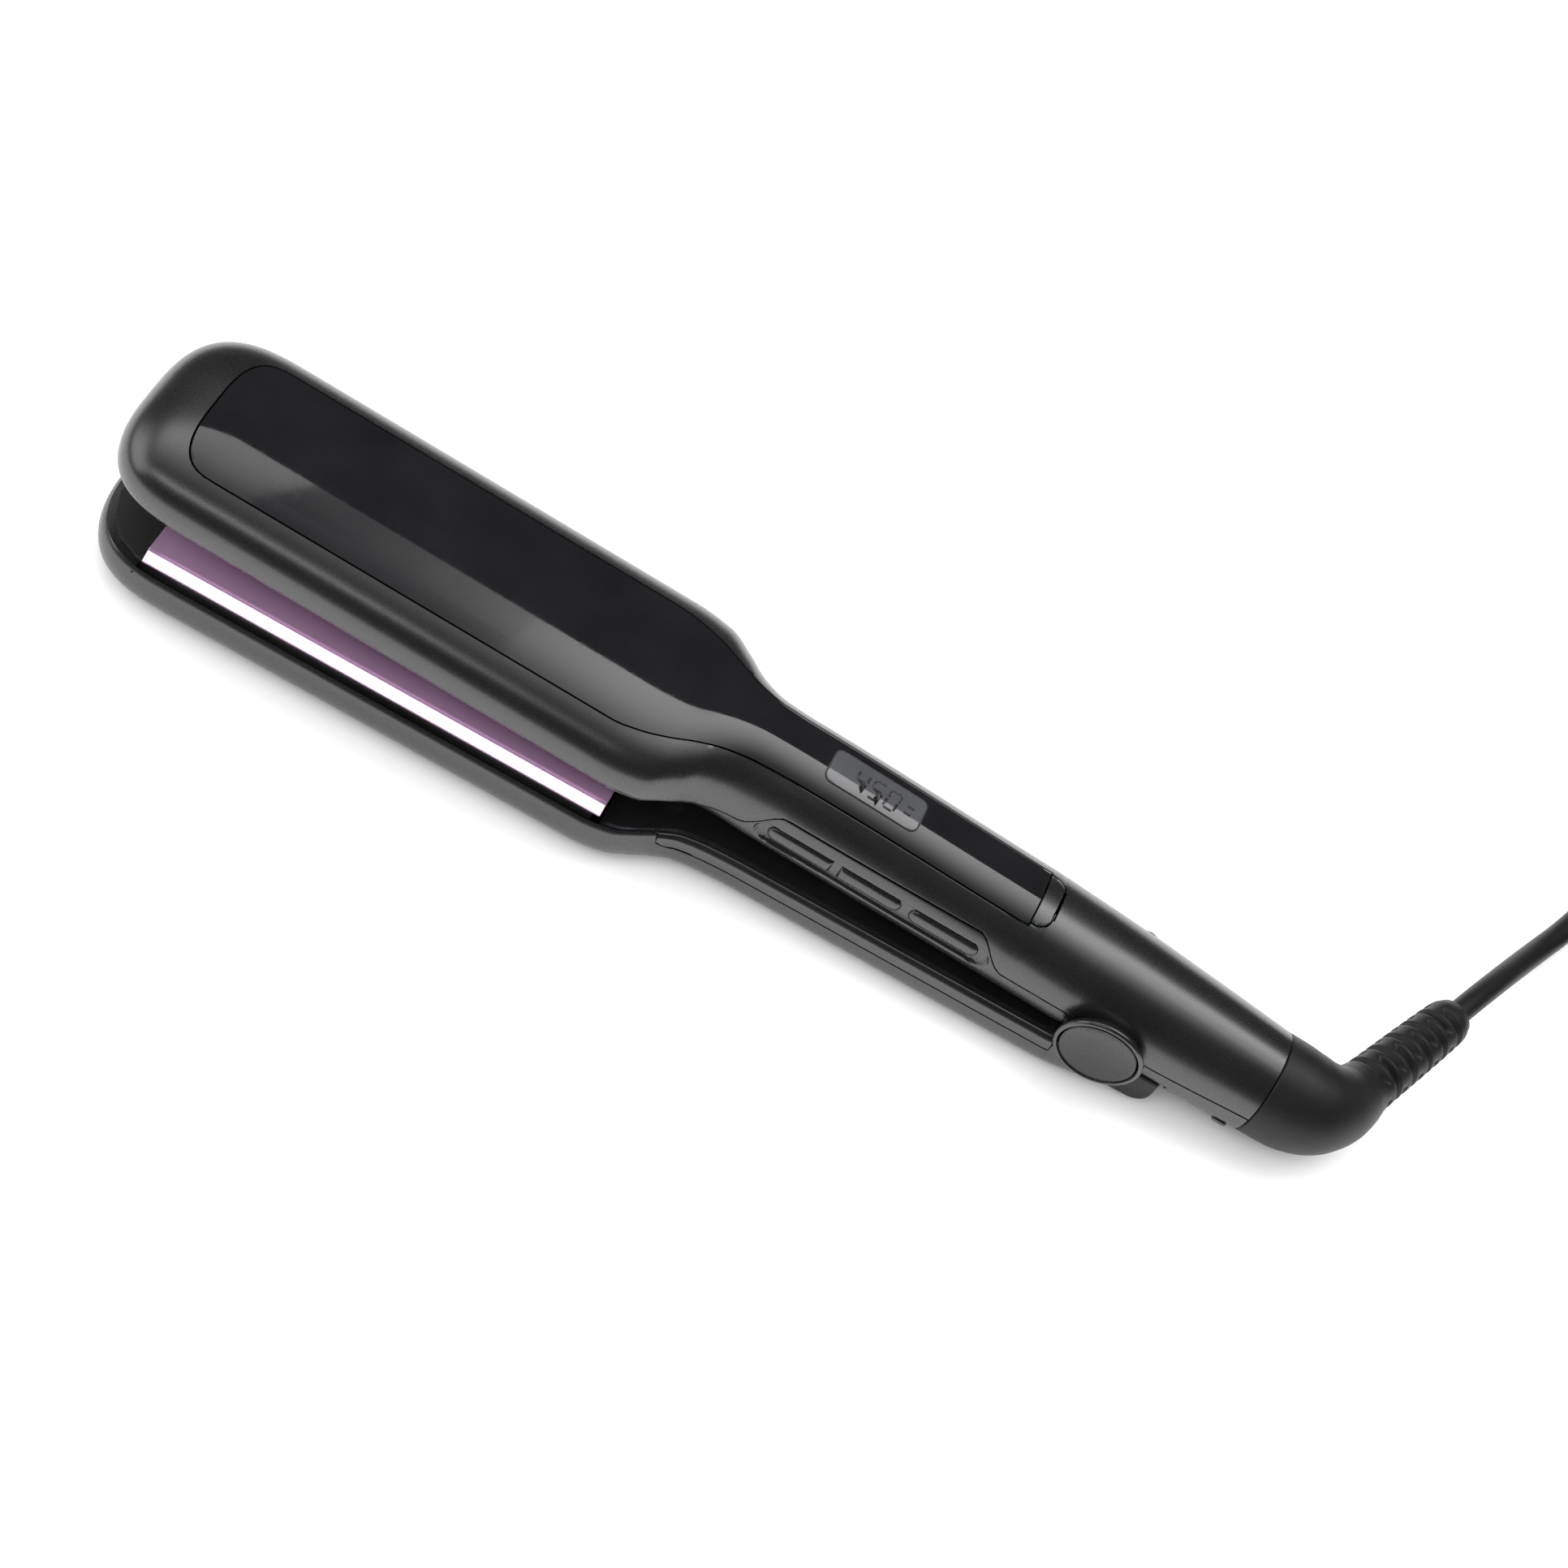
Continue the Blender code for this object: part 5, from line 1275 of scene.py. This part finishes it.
def boot_place(distance):
    """The boot's centre line: straight, a bend towards +Y, straight; with its direction."""
    first = BOOT_BEND_START - HANDLE_REAR - GAP
    bend = BOOT_BEND_RADIUS * BOOT_BEND_ANGLE
    start = Vector((HANDLE_REAR + GAP, 0.0, TAIL_AXIS_Z))
    if distance <= first:
        return start + Vector((distance, 0.0, 0.0)), 0.0
    angle = min((distance - first) / BOOT_BEND_RADIUS, BOOT_BEND_ANGLE)
    corner = start + Vector((first + BOOT_BEND_RADIUS * math.sin(angle),
                             BOOT_BEND_RADIUS * (1 - math.cos(angle)), 0.0))
    beyond = max(distance - first - bend, 0.0)
    return corner + Vector((math.cos(BOOT_BEND_ANGLE), math.sin(BOOT_BEND_ANGLE), 0.0)) * beyond, angle


def rib_cut(distance, turn):
    """Depth of the slots of the strain relief, which alternate round it."""
    if not BOOT_RIBS[0] < distance < BOOT_RIBS[1]:
        return 0.0
    number, part = divmod((distance - BOOT_RIBS[0]) / BOOT_RIB_PITCH, 1.0)
    across = ease((BOOT_SLOT_HALF - abs(part - 0.5)) / BOOT_SLOT_EASE)
    shift = math.pi / 4 * (1 + 2 * (int(number) % 2))
    round_it = ease((abs(math.cos(turn - shift)) - BOOT_BRIDGE) / BOOT_BRIDGE_EASE)
    return BOOT_RIB_DEPTH * across * round_it


def make_boot():
    rings = []
    count = int(BOOT_LENGTH / BOOT_STEP)
    for step in range(count + 1):
        distance = BOOT_LENGTH * step / count
        centre, angle = boot_place(distance)
        radius = along(BOOT_PROFILE, distance, 1)
        side = Vector((-math.sin(angle), math.cos(angle), 0.0))
        ring = []
        for k in range(BOOT_SIDES):
            turn = math.tau * k / BOOT_SIDES
            reach = radius - rib_cut(distance, turn)
            lift = Vector((0.0, 0.0, reach * math.sin(turn)))
            ring.append(centre + side * (reach * math.cos(turn)) + lift)
        rings.append(ring)
    ring_piece("boot", rings, HANDLE, "cord_rubber", "swivel", ("cord_boot",))


# ---------------- build

HANDLE = arm_matrix(OPEN_ANGLE)
LOWER = arm_matrix(0.0)
TABLE = Matrix.Scale(MM, 4)
LOOKS = {name: surface(name, *row) for name, row in LOOK_ROWS.items()}

make_camera()
make_plug()
make_tie()
make_lead()
make_top_cover()
make_panel()
make_display()
make_tab()
make_handle_trim()
make_buttons()
upper_plate = make_plate("plate_upper", "upper_plate", "upper_plate_float", HANDLE, 1, UPPER_PLATE_HALF)
lower_plate = make_plate("plate_lower", "lower_plate", "lower_plate_float", LOWER, -1, LOWER_PLATE_HALF)
make_stage([upper_plate, lower_plate])
make_lower_cover()
make_far_ear()
make_lower_trim()
make_caps()
make_knuckle_end()
make_rear_cover()
make_boot()

NODE_SLOTS = {row["node"]: row["material_slot"] for row in frame["record"]["subparts"]}
for name, node in frame["nodes"].items():
    node.data.materials.clear()
    node.data.materials.append(LOOKS[NODE_SLOTS[name]])

bpy.context.scene.view_settings.view_transform = "Standard"
